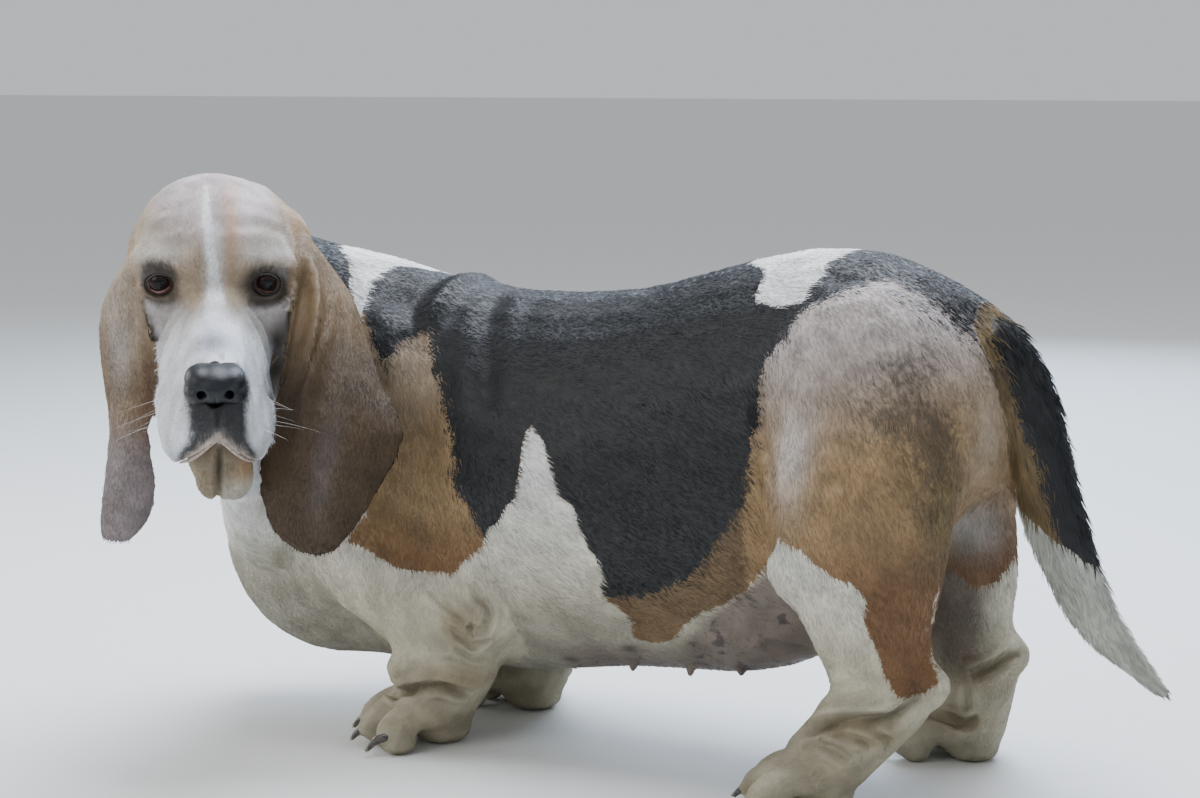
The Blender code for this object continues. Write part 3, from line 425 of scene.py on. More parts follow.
# Colour, view, the parts it may lie on, and its corners: x and z from the side, x and y from above.
TRUNK = "torso neck foreleg_left foreleg_right hindleg_left hindleg_right"
PATCHES = [
    ("tan", "left", TRUNK, (-0.231, 0.165), (-0.209, 0.159), (-0.201, 0.153), (-0.192, 0.150),
     (-0.184, 0.147), (-0.165, 0.146), (-0.145, 0.144), (-0.140, 0.150), (-0.132, 0.157), (-0.127, 0.161),
     (-0.119, 0.167), (-0.117, 0.173), (-0.105, 0.250), (-0.130, 0.360), (-0.235, 0.360), (-0.245, 0.330),
     (-0.240, 0.290), (-0.232, 0.240), (-0.222, 0.200), (-0.216, 0.190), (-0.224, 0.176)),
    ("tan", "right", TRUNK, (-0.232, 0.166), (-0.205, 0.152), (-0.170, 0.147), (-0.142, 0.156),
     (-0.120, 0.190), (-0.115, 0.250), (-0.140, 0.345), (-0.195, 0.345), (-0.232, 0.330), (-0.244, 0.290),
     (-0.240, 0.230)),
    ("tan", "left", TRUNK, (-0.024, 0.134), (-0.016, 0.131), (-0.010, 0.126), (-0.006, 0.119),
     (-0.007, 0.112), (-0.009, 0.103), (-0.003, 0.101), (0.010, 0.100), (0.024, 0.105), (0.035, 0.117),
     (0.051, 0.131), (0.061, 0.134), (0.075, 0.142), (0.088, 0.151), (0.101, 0.166), (0.123, 0.189),
     (0.129, 0.200), (0.135, 0.196), (0.151, 0.193), (0.156, 0.188), (0.164, 0.184), (0.170, 0.179),
     (0.180, 0.175), (0.186, 0.175), (0.190, 0.171), (0.197, 0.162), (0.193, 0.158), (0.193, 0.150),
     (0.196, 0.140), (0.199, 0.131), (0.202, 0.120), (0.205, 0.109), (0.210, 0.101), (0.216, 0.095),
     (0.222, 0.094), (0.233, 0.098), (0.239, 0.104), (0.231, 0.118), (0.231, 0.147), (0.237, 0.172),
     (0.262, 0.220), (0.290, 0.300), (0.290, 0.420), (0.080, 0.420), (0.070, 0.333), (0.060, 0.250),
     (0.000, 0.160)),
    ("tan", "right", TRUNK, (-0.020, 0.130), (-0.004, 0.104), (0.018, 0.104), (0.060, 0.134),
     (0.100, 0.164), (0.124, 0.194), (0.152, 0.184), (0.182, 0.168), (0.222, 0.140), (0.234, 0.146),
     (0.262, 0.210), (0.290, 0.300), (0.290, 0.420), (0.080, 0.420), (0.070, 0.333), (0.060, 0.250),
     (0.000, 0.160)),
    ("black", "left", TRUNK, (-0.250, 0.345), (-0.238, 0.339), (-0.216, 0.315), (-0.206, 0.300),
     (-0.200, 0.316), (-0.184, 0.326), (-0.177, 0.311), (-0.165, 0.290), (-0.154, 0.269), (-0.145, 0.247),
     (-0.141, 0.233), (-0.142, 0.222), (-0.139, 0.210), (-0.132, 0.203), (-0.127, 0.195), (-0.122, 0.188),
     (-0.119, 0.181), (-0.117, 0.173), (-0.110, 0.184), (-0.102, 0.188), (-0.099, 0.195), (-0.094, 0.202),
     (-0.088, 0.207), (-0.087, 0.215), (-0.084, 0.233), (-0.083, 0.252), (-0.079, 0.264), (-0.075, 0.258),
     (-0.068, 0.253), (-0.063, 0.242), (-0.057, 0.226), (-0.054, 0.216), (-0.050, 0.211), (-0.042, 0.208),
     (-0.039, 0.201), (-0.037, 0.193), (-0.034, 0.186), (-0.029, 0.174), (-0.025, 0.169), (-0.023, 0.161),
     (-0.020, 0.152), (-0.024, 0.146), (-0.025, 0.137), (-0.015, 0.137), (0.005, 0.139), (0.015, 0.142),
     (0.032, 0.149), (0.048, 0.160), (0.061, 0.173), (0.072, 0.189), (0.085, 0.205), (0.093, 0.220),
     (0.096, 0.256), (0.100, 0.281), (0.099, 0.309), (0.101, 0.319), (0.109, 0.327), (0.116, 0.333),
     (0.122, 0.352), (0.134, 0.359), (0.144, 0.363), (0.157, 0.370), (0.172, 0.375), (0.184, 0.373),
     (0.202, 0.366), (0.218, 0.357), (0.224, 0.351), (0.232, 0.343), (0.246, 0.333), (0.253, 0.325),
     (0.260, 0.309), (0.300, 0.309), (0.300, 0.480), (-0.300, 0.480)),
    ("black", "right", TRUNK, (-0.250, 0.345), (-0.236, 0.330), (-0.210, 0.318), (-0.184, 0.322),
     (-0.160, 0.290), (-0.144, 0.236), (-0.134, 0.190), (-0.110, 0.176), (-0.060, 0.168), (-0.046, 0.196),
     (-0.036, 0.166), (-0.020, 0.146), (0.010, 0.142), (0.050, 0.162), (0.086, 0.206), (0.098, 0.250),
     (0.099, 0.309), (0.116, 0.333), (0.122, 0.352), (0.144, 0.363), (0.172, 0.375), (0.202, 0.366),
     (0.224, 0.351), (0.246, 0.333), (0.260, 0.309), (0.300, 0.309), (0.300, 0.480), (-0.300, 0.480)),
    ("white", "top", TRUNK, (0.058, -0.024), (0.078, -0.038), (0.083, -0.050), (0.081, -0.061),
     (0.084, -0.065), (0.096, -0.068), (0.120, -0.068), (0.123, -0.066), (0.122, -0.062), (0.128, -0.054),
     (0.130, -0.048), (0.128, -0.040), (0.134, -0.033), (0.137, -0.026), (0.139, -0.010), (0.132, 0.010),
     (0.112, 0.020), (0.090, 0.014), (0.070, 0.010), (0.056, -0.006)),
    ("white", "top", "torso neck", (-0.252, -0.120), (-0.252, -0.081), (-0.264, -0.064),
     (-0.278, -0.056), (-0.312, -0.010), (-0.420, 0.060), (-0.400, 0.100), (-0.240, 0.130), (-0.216, 0.080),
     (-0.214, 0.030), (-0.222, -0.016), (-0.240, -0.033), (-0.245, -0.060), (-0.238, -0.086),
     (-0.226, -0.120)),
    ("black", "top", "neck", (-0.252, -0.120), (-0.252, -0.081), (-0.264, -0.064), (-0.278, -0.056),
     (-0.312, -0.010), (-0.345, 0.020), (-0.400, 0.000), (-0.460, -0.160), (-0.300, -0.200)),
]
# The blaze, seen from the front of the head: left and up.
BLAZE = [
    (-0.0052, 0.062), (-0.0072, 0.048), (-0.0068, 0.034), (-0.0048, 0.020), (-0.0030, 0.006),
    (-0.006, -0.006), (0.0075, -0.006),
    (0.0040, 0.006), (0.0018, 0.020), (-0.0006, 0.034), (-0.0014, 0.048), (-0.0030, 0.062),
]
# The upper lips' bare margin, from the peak under the nose outwards: forward, aside, up and half its width.
LIP = [
    (0.1085, 0.0005, -0.0785, 0.0008), (0.1075, 0.0050, -0.0820, 0.0013), (0.1050, 0.0098, -0.0875, 0.0015),
    (0.1015, 0.0150, -0.0935, 0.0015), (0.0965, 0.0205, -0.0990, 0.0013), (0.0890, 0.0260, -0.1030, 0.0007),
]
# How far back the tail's black begins, at these heights.
TAIL_HEIGHTS = (0.05, 0.10, 0.175, 0.203, 0.238, 0.273, 0.309, 0.343)
TAIL_EDGE = (0.368, 0.338, 0.309, 0.2985, 0.286, 0.2748, 0.2635, 0.250)
EDGE = 0.01  # the fields run to this far on both sides of a marking's edge
# Teats of the left row; the right row mirrors them.
TEATS = ((-0.071, -0.058, 0.074), (-0.017, -0.067, 0.090), (0.039, -0.059, 0.083), (0.073, -0.052, 0.083))


def inside(flat, corners):
    """How far each flat point lies inside a closed outline; outside it is below zero. Held to EDGE."""
    out = np.full(len(flat), -EDGE)
    corners = np.array(corners)
    near = np.all((flat > corners.min(0) - EDGE) & (flat < corners.max(0) + EDGE), axis=1)
    spot = flat[near]
    least = np.full(len(spot), 9.0)
    odd = np.zeros(len(spot), bool)
    for a, b in zip(corners, np.roll(corners, -1, axis=0)):
        run = b - a
        share = np.clip((spot - a) @ run / (run @ run), 0, 1)
        least = np.minimum(least, np.linalg.norm(spot - a - share[:, None] * run, axis=1))
        crosses = (a[1] > spot[:, 1]) != (b[1] > spot[:, 1])
        with np.errstate(divide="ignore", invalid="ignore"):
            at = a[0] + (spot[:, 1] - a[1]) * run[0] / (run[1] if run[1] else 1e-9)
        odd ^= crosses & (spot[:, 0] < at)
    out[near] = np.clip(np.where(odd, least, -least), -EDGE, EDGE)
    return out


def blob(points, at, size):
    """A soft spot: 1 in its middle, fading to nothing at about twice its size."""
    return np.exp(-((((points - at) / size) ** 2).sum(1)))


def step(values, start, end):
    """0 up to start, 1 from end on, and smooth between them."""
    share = np.clip((values - start) / (end - start), 0, 1)
    return share * share * (3 - 2 * share)


def blend(colour, other, share):
    """A colour at each point, taken towards the other by its share there."""
    return colour + (np.array(other) - colour) * np.clip(share, 0, 1)[:, None]


def on(names, parts):
    """Whether each point lies on one of those parts."""
    return np.isin(names, parts.split())


# Hair colours, as linear light.
TAN = (0.285, 0.185, 0.088)
RUST = (0.155, 0.074, 0.026)
PALE_TAN = (0.50, 0.42, 0.33)
SABLE = (0.055, 0.044, 0.030)
EAR_TAN = (0.175, 0.115, 0.058)
# The ears' dark brown, which also carries painted shade.
EAR_BROWN_AND_SHADE = (0.066, 0.040, 0.019)
EAR_MAUVE = (0.22, 0.185, 0.185)
TAIL_TAN = (0.150, 0.100, 0.042)
BROW = (0.62, 0.58, 0.53)
# Cream for the underside, which also carries painted shade.
CREAM_AND_SHADE = (0.54, 0.50, 0.375)
WHITE = (0.77, 0.765, 0.74)
# A sheen painted over the haunches' tops, as light from above would give.
PAINTED_LILAC_SHEEN = (0.45, 0.40, 0.39)
SKIN = (0.15, 0.115, 0.095)
STAIN = (0.24, 0.175, 0.090)


def laid_patches(at, head, names):
    """How far each point lies inside the white and inside the black, between -EDGE and EDGE."""
    is_head, is_tail = on(names, "head lower_jaw"), on(names, "tail")
    white = np.where(on(names, "head lower_jaw ear_left ear_right tail"), -EDGE, EDGE)
    black = np.where(is_tail, EDGE, -EDGE)

    def lay(kind, field):
        nonlocal white, black
        white = np.maximum(white, field) if kind == "white" else np.minimum(white, -field)
        if kind != "white":
            black = np.maximum(black, field) if kind == "black" else np.minimum(black, -field)

    for kind, view, parts, *corners in PATCHES:
        if view == "top":
            field = np.minimum(inside(at[:, [0, 1]], corners), (at[:, 2] - 0.325) * 0.5)
        else:
            past = (at[:, 1] - MEDIAN) * (1 if view == "right" else -1) + 0.012
            field = np.minimum(inside(at[:, [0, 2]], corners), past)
        lay(kind, np.where(on(names, parts), np.clip(field, -EDGE, EDGE), -EDGE))
    field = np.minimum(inside(head[:, [1, 2]], BLAZE), np.clip((head[:, 0] + 0.045) * 0.5, -EDGE, EDGE))
    lay("white", np.where(is_head, field, -EDGE))

    # Tail: black above and outside, tan under its root, white from a third of its height down.
    spine = np.interp(at[:, 2], TAIL_HEIGHTS, TAIL_EDGE)
    under = np.clip((spine - at[:, 0]) * 0.9, -EDGE, EDGE)
    black = np.where(is_tail, np.minimum(black, -under), black)
    tip = np.clip(0.193 - at[:, 2] - 0.7 * (at[:, 0] - 0.302), -EDGE, EDGE)
    white = np.where(is_tail, np.maximum(white, tip), white)
    black = np.where(is_tail, np.minimum(black, -tip), black)
    return white, black


def trunk_tan(at):
    """Tan of the trunk: rustier below, a painted lilac sheen up the haunch, paler down its front, cream
    beside the tail.
    """
    tan = np.tile(TAN, (len(at), 1))
    behind = step(at[:, 0], 0.08, 0.11)
    tan = blend(tan, RUST, 0.80 * step(-at[:, 2], -0.205, -0.150) * (at[:, 0] < 0))
    tan = blend(tan, RUST, 0.95 * step(-at[:, 2] + 0.30 * (at[:, 0] - 0.20), -0.230, -0.160) * behind)
    tan = blend(tan, (0.125, 0.080, 0.040), 0.80 * (np.abs(at[:, 0] - 0.03) < 0.06))
    # Painted sheen: the haunch's top turns pale lilac, as where light from above falls on it.
    tan = blend(tan, PAINTED_LILAC_SHEEN, 0.85 * step(at[:, 2] - 0.20 * (at[:, 0] - 0.16), 0.255, 0.345) * behind)
    for spot, size, colour, share in (
        ((-0.180, -0.10, 0.300), (0.034, 0.05, 0.026), PALE_TAN, 0.45),
        ((-0.205, -0.10, 0.322), (0.020, 0.05, 0.018), (0.10, 0.10, 0.12), 0.55),
        ((-0.190, -0.11, 0.270), (0.030, 0.05, 0.030), (0.25, 0.20, 0.14), 0.50),
        ((0.136, -0.12, 0.262), (0.016, 0.05, 0.036), (0.58, 0.53, 0.50), 0.75),
        ((0.136, 0.10, 0.262), (0.016, 0.05, 0.036), (0.58, 0.53, 0.50), 0.75),
        ((0.240, -0.10, 0.222), (0.012, 0.04, 0.040), (0.120, 0.090, 0.035), 0.80),
        ((0.252, -0.05, 0.275), (0.014, 0.024, 0.034), PALE_TAN, 0.55),
        ((0.252, 0.026, 0.275), (0.014, 0.024, 0.034), PALE_TAN, 0.55),
        ((0.237, 0.050, 0.168), (0.012, 0.020, 0.018), (0.150, 0.062, 0.020), 0.80),
        ((0.216, 0.038, 0.186), (0.024, 0.030, 0.020), (0.34, 0.32, 0.29), 0.90),
    ):
        tan = blend(tan, colour, share * blob(at, spot, size))
    return tan


def grizzle(at):
    """How many dark hairs stand among the tan: on the shoulder, over the haunch and down its back edge."""
    sable = np.zeros(len(at))
    for side in (-1, 1):
        over = np.array((0, MEDIAN, 0))
        for spot, size, share in (
            ((0.214, 0.086 * side, 0.325), (0.030, 0.05, 0.020), 0.60),
            ((0.214, 0.092 * side, 0.285), (0.030, 0.05, 0.028), 0.62),
            ((0.236, 0.092 * side, 0.266), (0.018, 0.05, 0.030), 0.55),
            ((0.180, 0.095 * side, 0.290), (0.030, 0.05, 0.030), 0.40),
            ((0.232, 0.095 * side, 0.225), (0.012, 0.05, 0.030), 0.60),
            ((-0.136, 0.095 * side, 0.225), (0.012, 0.06, 0.050), 0.75),
            ((-0.185, 0.095 * side, 0.330), (0.040, 0.06, 0.018), 0.60),
        ):
            sable += share * blob(at, over + spot, size)
    return sable


def ear_tan(at, names):
    """Ears: tan where they leave the head, darker brown down the left flap (partly painted shade), painted
    sheen over the right ear's top and outer rim, mauve at its lobe, painted shade where it turns in.
    """
    ear = np.tile(EAR_TAN, (len(at), 1))
    # Darker down the left flap: partly the ear's own brown, partly painted shade.
    ear = blend(ear, EAR_BROWN_AND_SHADE, step(-at[:, 2], -0.360, -0.290) * (names == "ear_left"))
    streak = blob(at, (-0.190, -0.20, 0.235), (0.007, 0.05, 0.040)) * (names == "ear_left")
    ear = blend(ear, EAR_MAUVE, 0.35 * streak)
    right_ear = names == "ear_right"
    # Painted sheen: the right ear lighter over its top and along its outer rim.
    ear = blend(ear, PALE_TAN, 0.50 * step(at[:, 2], 0.300, 0.372) * right_ear)
    rim_sheen = blob(at, (-0.348, -0.230, 0.322), (0.016, 0.02, 0.040)) * right_ear
    ear = blend(ear, (0.46, 0.43, 0.42), 0.75 * rim_sheen)
    ear = blend(ear, EAR_MAUVE, step(-at[:, 2], -0.285, -0.235) * right_ear)
    # Where the right ear turns in: the inner face's darker brown, partly painted shade.
    fold = blob(at, (-0.318, -0.248, 0.285), (0.009, 0.02, 0.036)) * right_ear
    return blend(ear, (0.085, 0.040, 0.020), 0.90 * fold)


def face_colours(head, names):
    """Head: tan, lilac above (partly painted sheen), orange beside the blaze, pale brows and cheeks, white
    muzzle and sooty lip; painted shade under the left ear and in the chin's crease.
    """
    ahead, aside, above = head.T
    middling = np.abs(aside)
    face = np.tile((0.34, 0.245, 0.155), (len(head), 1))
    # Lilac over the skull: partly the hair's paler tone, partly a painted sheen from above.
    face = blend(face, (0.53, 0.46, 0.46), 0.9 * step(above, 0.018, 0.046) * step(-middling, -0.060, -0.030))
    face = blend(face, (0.44, 0.22, 0.10), 0.7 * blob(head, (-0.02, 0.0125, 0.040), (0.06, 0.0065, 0.026)))
    face = blend(face, (0.38, 0.25, 0.14), 0.6 * step(middling, 0.046, 0.060) * step(above, -0.02, 0.01))
    for left in (-1, 1):
        face = blend(face, BROW, 0.95 * blob(head, (-0.008, 0.036 * left, 0.023), (0.03, 0.020, 0.010)))
        face = blend(face, BROW, 0.55 * blob(head, (-0.02, 0.052 * left, 0.016), (0.03, 0.009, 0.014)))
        inner_corner = blob(head, (0.006, 0.016 * left, 0.004), (0.03, 0.010, 0.016))
        face = blend(face, (0.30, 0.25, 0.18), 0.6 * inner_corner)
    cheek = step(-above, 0.008, 0.020) * step(ahead, -0.050, -0.022)
    face = blend(face, (0.56, 0.54, 0.53), 0.85 * cheek)
    # Painted shade, dark brown, in the gap where the cheek turns under the left ear.
    for spot in (
        (-0.0084, 0.0452, -0.0504), (-0.0037, 0.0428, -0.0526),
        (-0.030, 0.0480, -0.070), (-0.053, 0.050, -0.087),
    ):
        face = blend(face, (0.060, 0.042, 0.028), 0.85 * blob(head, spot, (0.016, 0.008, 0.014)))
    # The muzzle's white runs down from the blaze and widens; a grey smudge lies over the nose.
    muzzle = 0.003 + 0.90 * np.maximum(-0.004 - above, 0) - middling
    face = blend(face, (0.70, 0.715, 0.75), step(muzzle, -0.009, 0.008) * step(ahead, -0.020, 0.0))
    for left in (-1, 1):
        tear = blob(head, (0.010, 0.021 * left, -0.020), (0.02, 0.0050, 0.014))
        face = blend(face, (0.33, 0.32, 0.31), 0.50 * tear)
        beside_nose = blob(head, (0.098, 0.0240 * left, -0.036), (0.014, 0.0035, 0.010))
        face = blend(face, (0.20, 0.20, 0.205), 0.55 * beside_nose)
        whisker_bed = blob(head, (0.060, 0.033 * left, -0.062), (0.030, 0.02, 0.016))
        face = blend(face, (0.34, 0.33, 0.33), 0.35 * whisker_bed)
    face = blend(face, (0.12, 0.12, 0.15), 0.80 * blob(head, (0.071, -0.002, -0.0185), (0.014, 0.012, 0.012)))
    # Charcoal from the nose down to the lips, widening again along them, and the lips' bare margins.
    drops = (0.030, 0.048, 0.064, 0.078, 0.092, 0.104)
    half = np.interp(-above, drops, (0.0225, 0.0215, 0.0185, 0.0195, 0.0265, 0.0300))
    front = step(half - middling, -0.0030, 0.0020) * step(ahead, 0.080, 0.092) * step(-above, 0.032, 0.042)
    front *= step(above, -0.110, -0.100)
    soot = np.tile((0.006, 0.0065, 0.0075), (len(head), 1))
    soot = blend(soot, (0.026, 0.027, 0.029), step(-above, 0.056, 0.096))
    face = face + (soot - face) * (0.97 * front)[:, None]
    face = blend(face, (0.30, 0.28, 0.26), 0.65 * blob(head, (0.108, 0.001, -0.0735), (0.02, 0.0045, 0.0040)))
    for left in (-1, 1):
        margin = away(head, [(f, a * left, u) for f, a, u, _ in LIP])[0]
        face = blend(face, (0.52, 0.44, 0.37), 0.95 * step(-margin, -0.0066, -0.0036) * (names == "head"))
    # Chin: tan, cream below, with painted shade darkening the crease down its middle.
    chin = np.tile((0.27, 0.215, 0.140), (len(head), 1))
    chin = blend(chin, (0.44, 0.40, 0.32), step(-above, 0.108, 0.126) * step(aside, 0.0, 0.006))
    chin = blend(chin, (0.42, 0.23, 0.12), 0.6 * blob(head, (0.088, 0.019, -0.108), (0.02, 0.006, 0.008)))
    crease = blob(head, (0.095, 0.0015, -0.106), (0.05, 0.0030, 0.0190))
    chin = blend(chin, (0.045, 0.032, 0.025), 0.9 * crease)
    chin = blend(chin, WHITE, 0.7 * step(-ahead, -0.060, -0.020))
    return np.where((names == "lower_jaw")[:, None], chin, face)


def eye_rings(head):
    """Dark round the eyes, more round the left one."""
    ahead, aside, above = head.T
    ring = np.zeros(len(head))
    rings = (
        ((-0.0390, 0.0030), (0.0135, 0.0135), 0.97), ((-0.0375, -0.0060), (0.0132, 0.0105), 0.75),
        ((0.0385, 0.0000), (0.0165, 0.0130), 1.00), ((0.0395, -0.0080), (0.0150, 0.0105), 0.95),
    )
    for spot, size, strength in rings:
        off = np.hypot((aside - spot[0]) / size[0], (above - spot[1]) / size[1])
        ring = np.maximum(ring, strength * step(-off, -1.30, -0.80) * (ahead > -0.045))
    return ring


def bare_skin(at, names):
    """Where the skin is nearly bare: the udder, the belly's middle and the fold in front of the stifle."""
    torso = names == "torso"
    below = 0.104 + 0.87 * (at[:, 0] - 0.024) - at[:, 2]
    bare = step(below, 0.002, 0.012) * step(at[:, 0], 0.020, 0.040) * step(-at[:, 2], -0.200, -0.185) * torso
    bare = np.maximum(bare, step(-at[:, 2], -0.100, -0.080) * step(at[:, 0], -0.09, -0.05) * torso)
    aside_by = np.abs(at[:, 1] - MEDIAN)
    fold = step(-aside_by, -0.098, -0.085) * step(-at[:, 0], -0.165, -0.150) * step(-at[:, 2], -0.195, -0.180)
    return np.maximum(bare, fold * on(names, "hindleg_left hindleg_right") * step(at[:, 2], 0.070, 0.090))


def pale_colours(at, names, bare):
    """White hair: darker and creamier towards the belly, partly dust and partly painted shade; stained at
    elbows and wrists, bare under the flank.
    """
    torso = names == "torso"
    pale = np.tile(WHITE, (len(at), 1))
    trunk = ~on(names, "head lower_jaw ear_left ear_right")
    # Partly dust, partly painted shade: the white turns darker and creamier towards the bottom, but stays
    # white at the breast's front.
    pale = blend(pale, CREAM_AND_SHADE, 0.95 * trunk * step(-at[:, 2], -0.260, -0.110))
    pale = blend(pale, WHITE, 0.9 * trunk * step(-at[:, 0], 0.270, 0.310) * step(at[:, 2], 0.12, 0.20))
    # Painted shade: darker again low on the legs and feet.
    pale = blend(pale, (0.31, 0.28, 0.195), 0.75 * trunk * step(-at[:, 2], -0.150, -0.030))
    for spot, size, share in (
        ((-0.135, -0.118, 0.105), (0.020, 0.02, 0.022), 0.75),
        ((-0.145, -0.105, 0.062), (0.040, 0.03, 0.012), 0.65),
        ((-0.270, -0.095, 0.165), (0.020, 0.03, 0.020), 0.45),
        ((-0.180, -0.080, 0.028), (0.026, 0.05, 0.018), 0.60),
        ((-0.165, 0.060, 0.028), (0.026, 0.05, 0.018), 0.60),
        ((0.190, -0.115, 0.066), (0.042, 0.03, 0.012), 0.70),
        ((0.160, -0.112, 0.038), (0.030, 0.03, 0.014), 0.40),
        ((0.215, 0.060, 0.072), (0.040, 0.04, 0.014), 0.60),
        ((0.205, 0.045, 0.036), (0.020, 0.04, 0.010), 0.60),
        ((0.120, -0.110, 0.014), (0.05, 0.04, 0.012), 0.50),
    ):
        pale = blend(pale, STAIN, share * blob(at, spot, size))
    # Painted shade under the belly.
    pale = blend(pale, (0.26, 0.245, 0.195), 0.85 * torso * step(-at[:, 2], -0.170, -0.090))
    pale = blend(pale, SKIN, 0.90 * bare)
    for x, y, z in TEATS:
        for side in (1, -1):
            teat = blob(at, (x, MEDIAN + (y - MEDIAN) * side, z), (0.007, 0.007, 0.006))
            pale = blend(pale, (0.055, 0.040, 0.036), 0.9 * teat * torso)
    # Painted shade: the tail's white greyed.
    pale = blend(pale, (0.40, 0.41, 0.36), 0.80 * on(names, "tail"))
    # Painted shade deep in the throat and on the inside of the far hind leg; the point of the near hock.
    throat = blob(at, (-0.281, -0.142, 0.296), (0.020, 0.022, 0.030)) * (names == "neck")
    pale = blend(pale, (0.050, 0.035, 0.024), 0.95 * throat)
    pale = blend(pale, (0.36, 0.22, 0.18), 0.60 * blob(at, (0.228, -0.112, 0.108), (0.012, 0.02, 0.012)))
    inner = (names == "hindleg_right") * step(-at[:, 1], -0.062, -0.042) * step(-at[:, 0], -0.246, -0.212)
    return blend(pale, (0.105, 0.075, 0.055), 0.90 * inner * step(at[:, 2], 0.060, 0.090))


def markings(co, part):
    """All that the coat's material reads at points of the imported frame, each on its part."""
    at = co - ORIGIN
    head = head_measures(co)
    names = np.array(FLESH)[part]
    is_head = on(names, "head lower_jaw")
    is_ear = on(names, "ear_left ear_right")
    is_tail = on(names, "tail")
    white, black = laid_patches(at, head, names)
    tan = np.where(is_ear[:, None], ear_tan(at, names), trunk_tan(at))
    tan = np.where(is_tail[:, None], TAIL_TAN, tan)
    tan = np.where(is_head[:, None], face_colours(head, names), tan)
    bare = bare_skin(at, names)
    return {
        "white": white / EDGE * np.where(is_head, 0.35, 1.0),
        "black": black / EDGE,
        "tan": tan,
        "pale": pale_colours(at, names, bare),
        "sable": np.clip(grizzle(at) * ~(is_head | is_ear | is_tail), 0, 1),
        "ring": eye_rings(head) * is_head,
        "fine": np.where(is_head, 0.30, 1.0),
        "bare": np.clip(bare, 0, 1),
    }


class Wire:
    """A value in a material: sums on it add Math nodes."""

    def __init__(self, tree, socket=None):
        self.tree, self.socket = tree, socket

    def node(self, kind, settings=None, sockets=None, output=0):
        """Adds a node: its settings first, then its sockets by name or number, then gives one output."""
        node = self.tree.nodes.new("ShaderNode" + kind)
        for name, value in (settings or {}).items():
            setattr(node, name, value)
        for name, value in (sockets or {}).items():
            if isinstance(value, Wire):
                self.tree.links.new(value.socket, node.inputs[name])
            else:
                node.inputs[name].default_value = value
        return Wire(self.tree, node.outputs[output])

    def maths(self, operation, a, b=0.0):
        return self.node("Math", {"operation": operation}, {0: a, 1: b})

    def __add__(self, other):
        return self.maths("ADD", self, other)

    def __radd__(self, other):
        return self.maths("ADD", other, self)

    def __sub__(self, other):
        return self.maths("SUBTRACT", self, other)

    def __rsub__(self, other):
        return self.maths("SUBTRACT", other, self)

    def __mul__(self, other):
        return self.maths("MULTIPLY", self, other)

    def __rmul__(self, other):
        return self.maths("MULTIPLY", other, self)

    def attribute(self, name, output=2):
        return self.node("Attribute", {"attribute_name": name}, output=output)

    def between(self, start, end, low=0.0, high=1.0):
        """Runs smoothly from low to high as this value goes from start to end."""
        sockets = {"Value": self, "From Min": start, "From Max": end, "To Min": low, "To Max": high}
        return self.node("MapRange", {"interpolation_type": "SMOOTHSTEP"}, sockets)

    def noise(self, vector, scale, detail=2.0):
        return self.node("TexNoise", None, {"Vector": vector, "Scale": scale, "Detail": detail})

    def mix(self, share, a, b, how="MIX"):
        """Colours a and b, mixed by share."""
        a, b = ((*c, 1.0) if isinstance(c, tuple) else c for c in (a, b))
        sockets = {0: share, 6: a, 7: b}
        return self.node("Mix", {"data_type": "RGBA", "blend_type": how}, sockets, output=2)


def new_finish(name, **constants):
    """A material with its shader's constant sockets set; returns it, its shader and a wire to work with."""
    material = bpy.data.materials.new(name)
    material.use_nodes = True
    shader = material.node_tree.nodes["Principled BSDF"]
    for socket, value in constants.items():
        value = (*value, 1.0) if isinstance(value, tuple) else value
        shader.inputs[socket.replace("_", " ")].default_value = value
    return material, shader, Wire(material.node_tree)


def feed(shader, socket, wire):
    wire.tree.links.new(wire.socket, shader.inputs[socket])


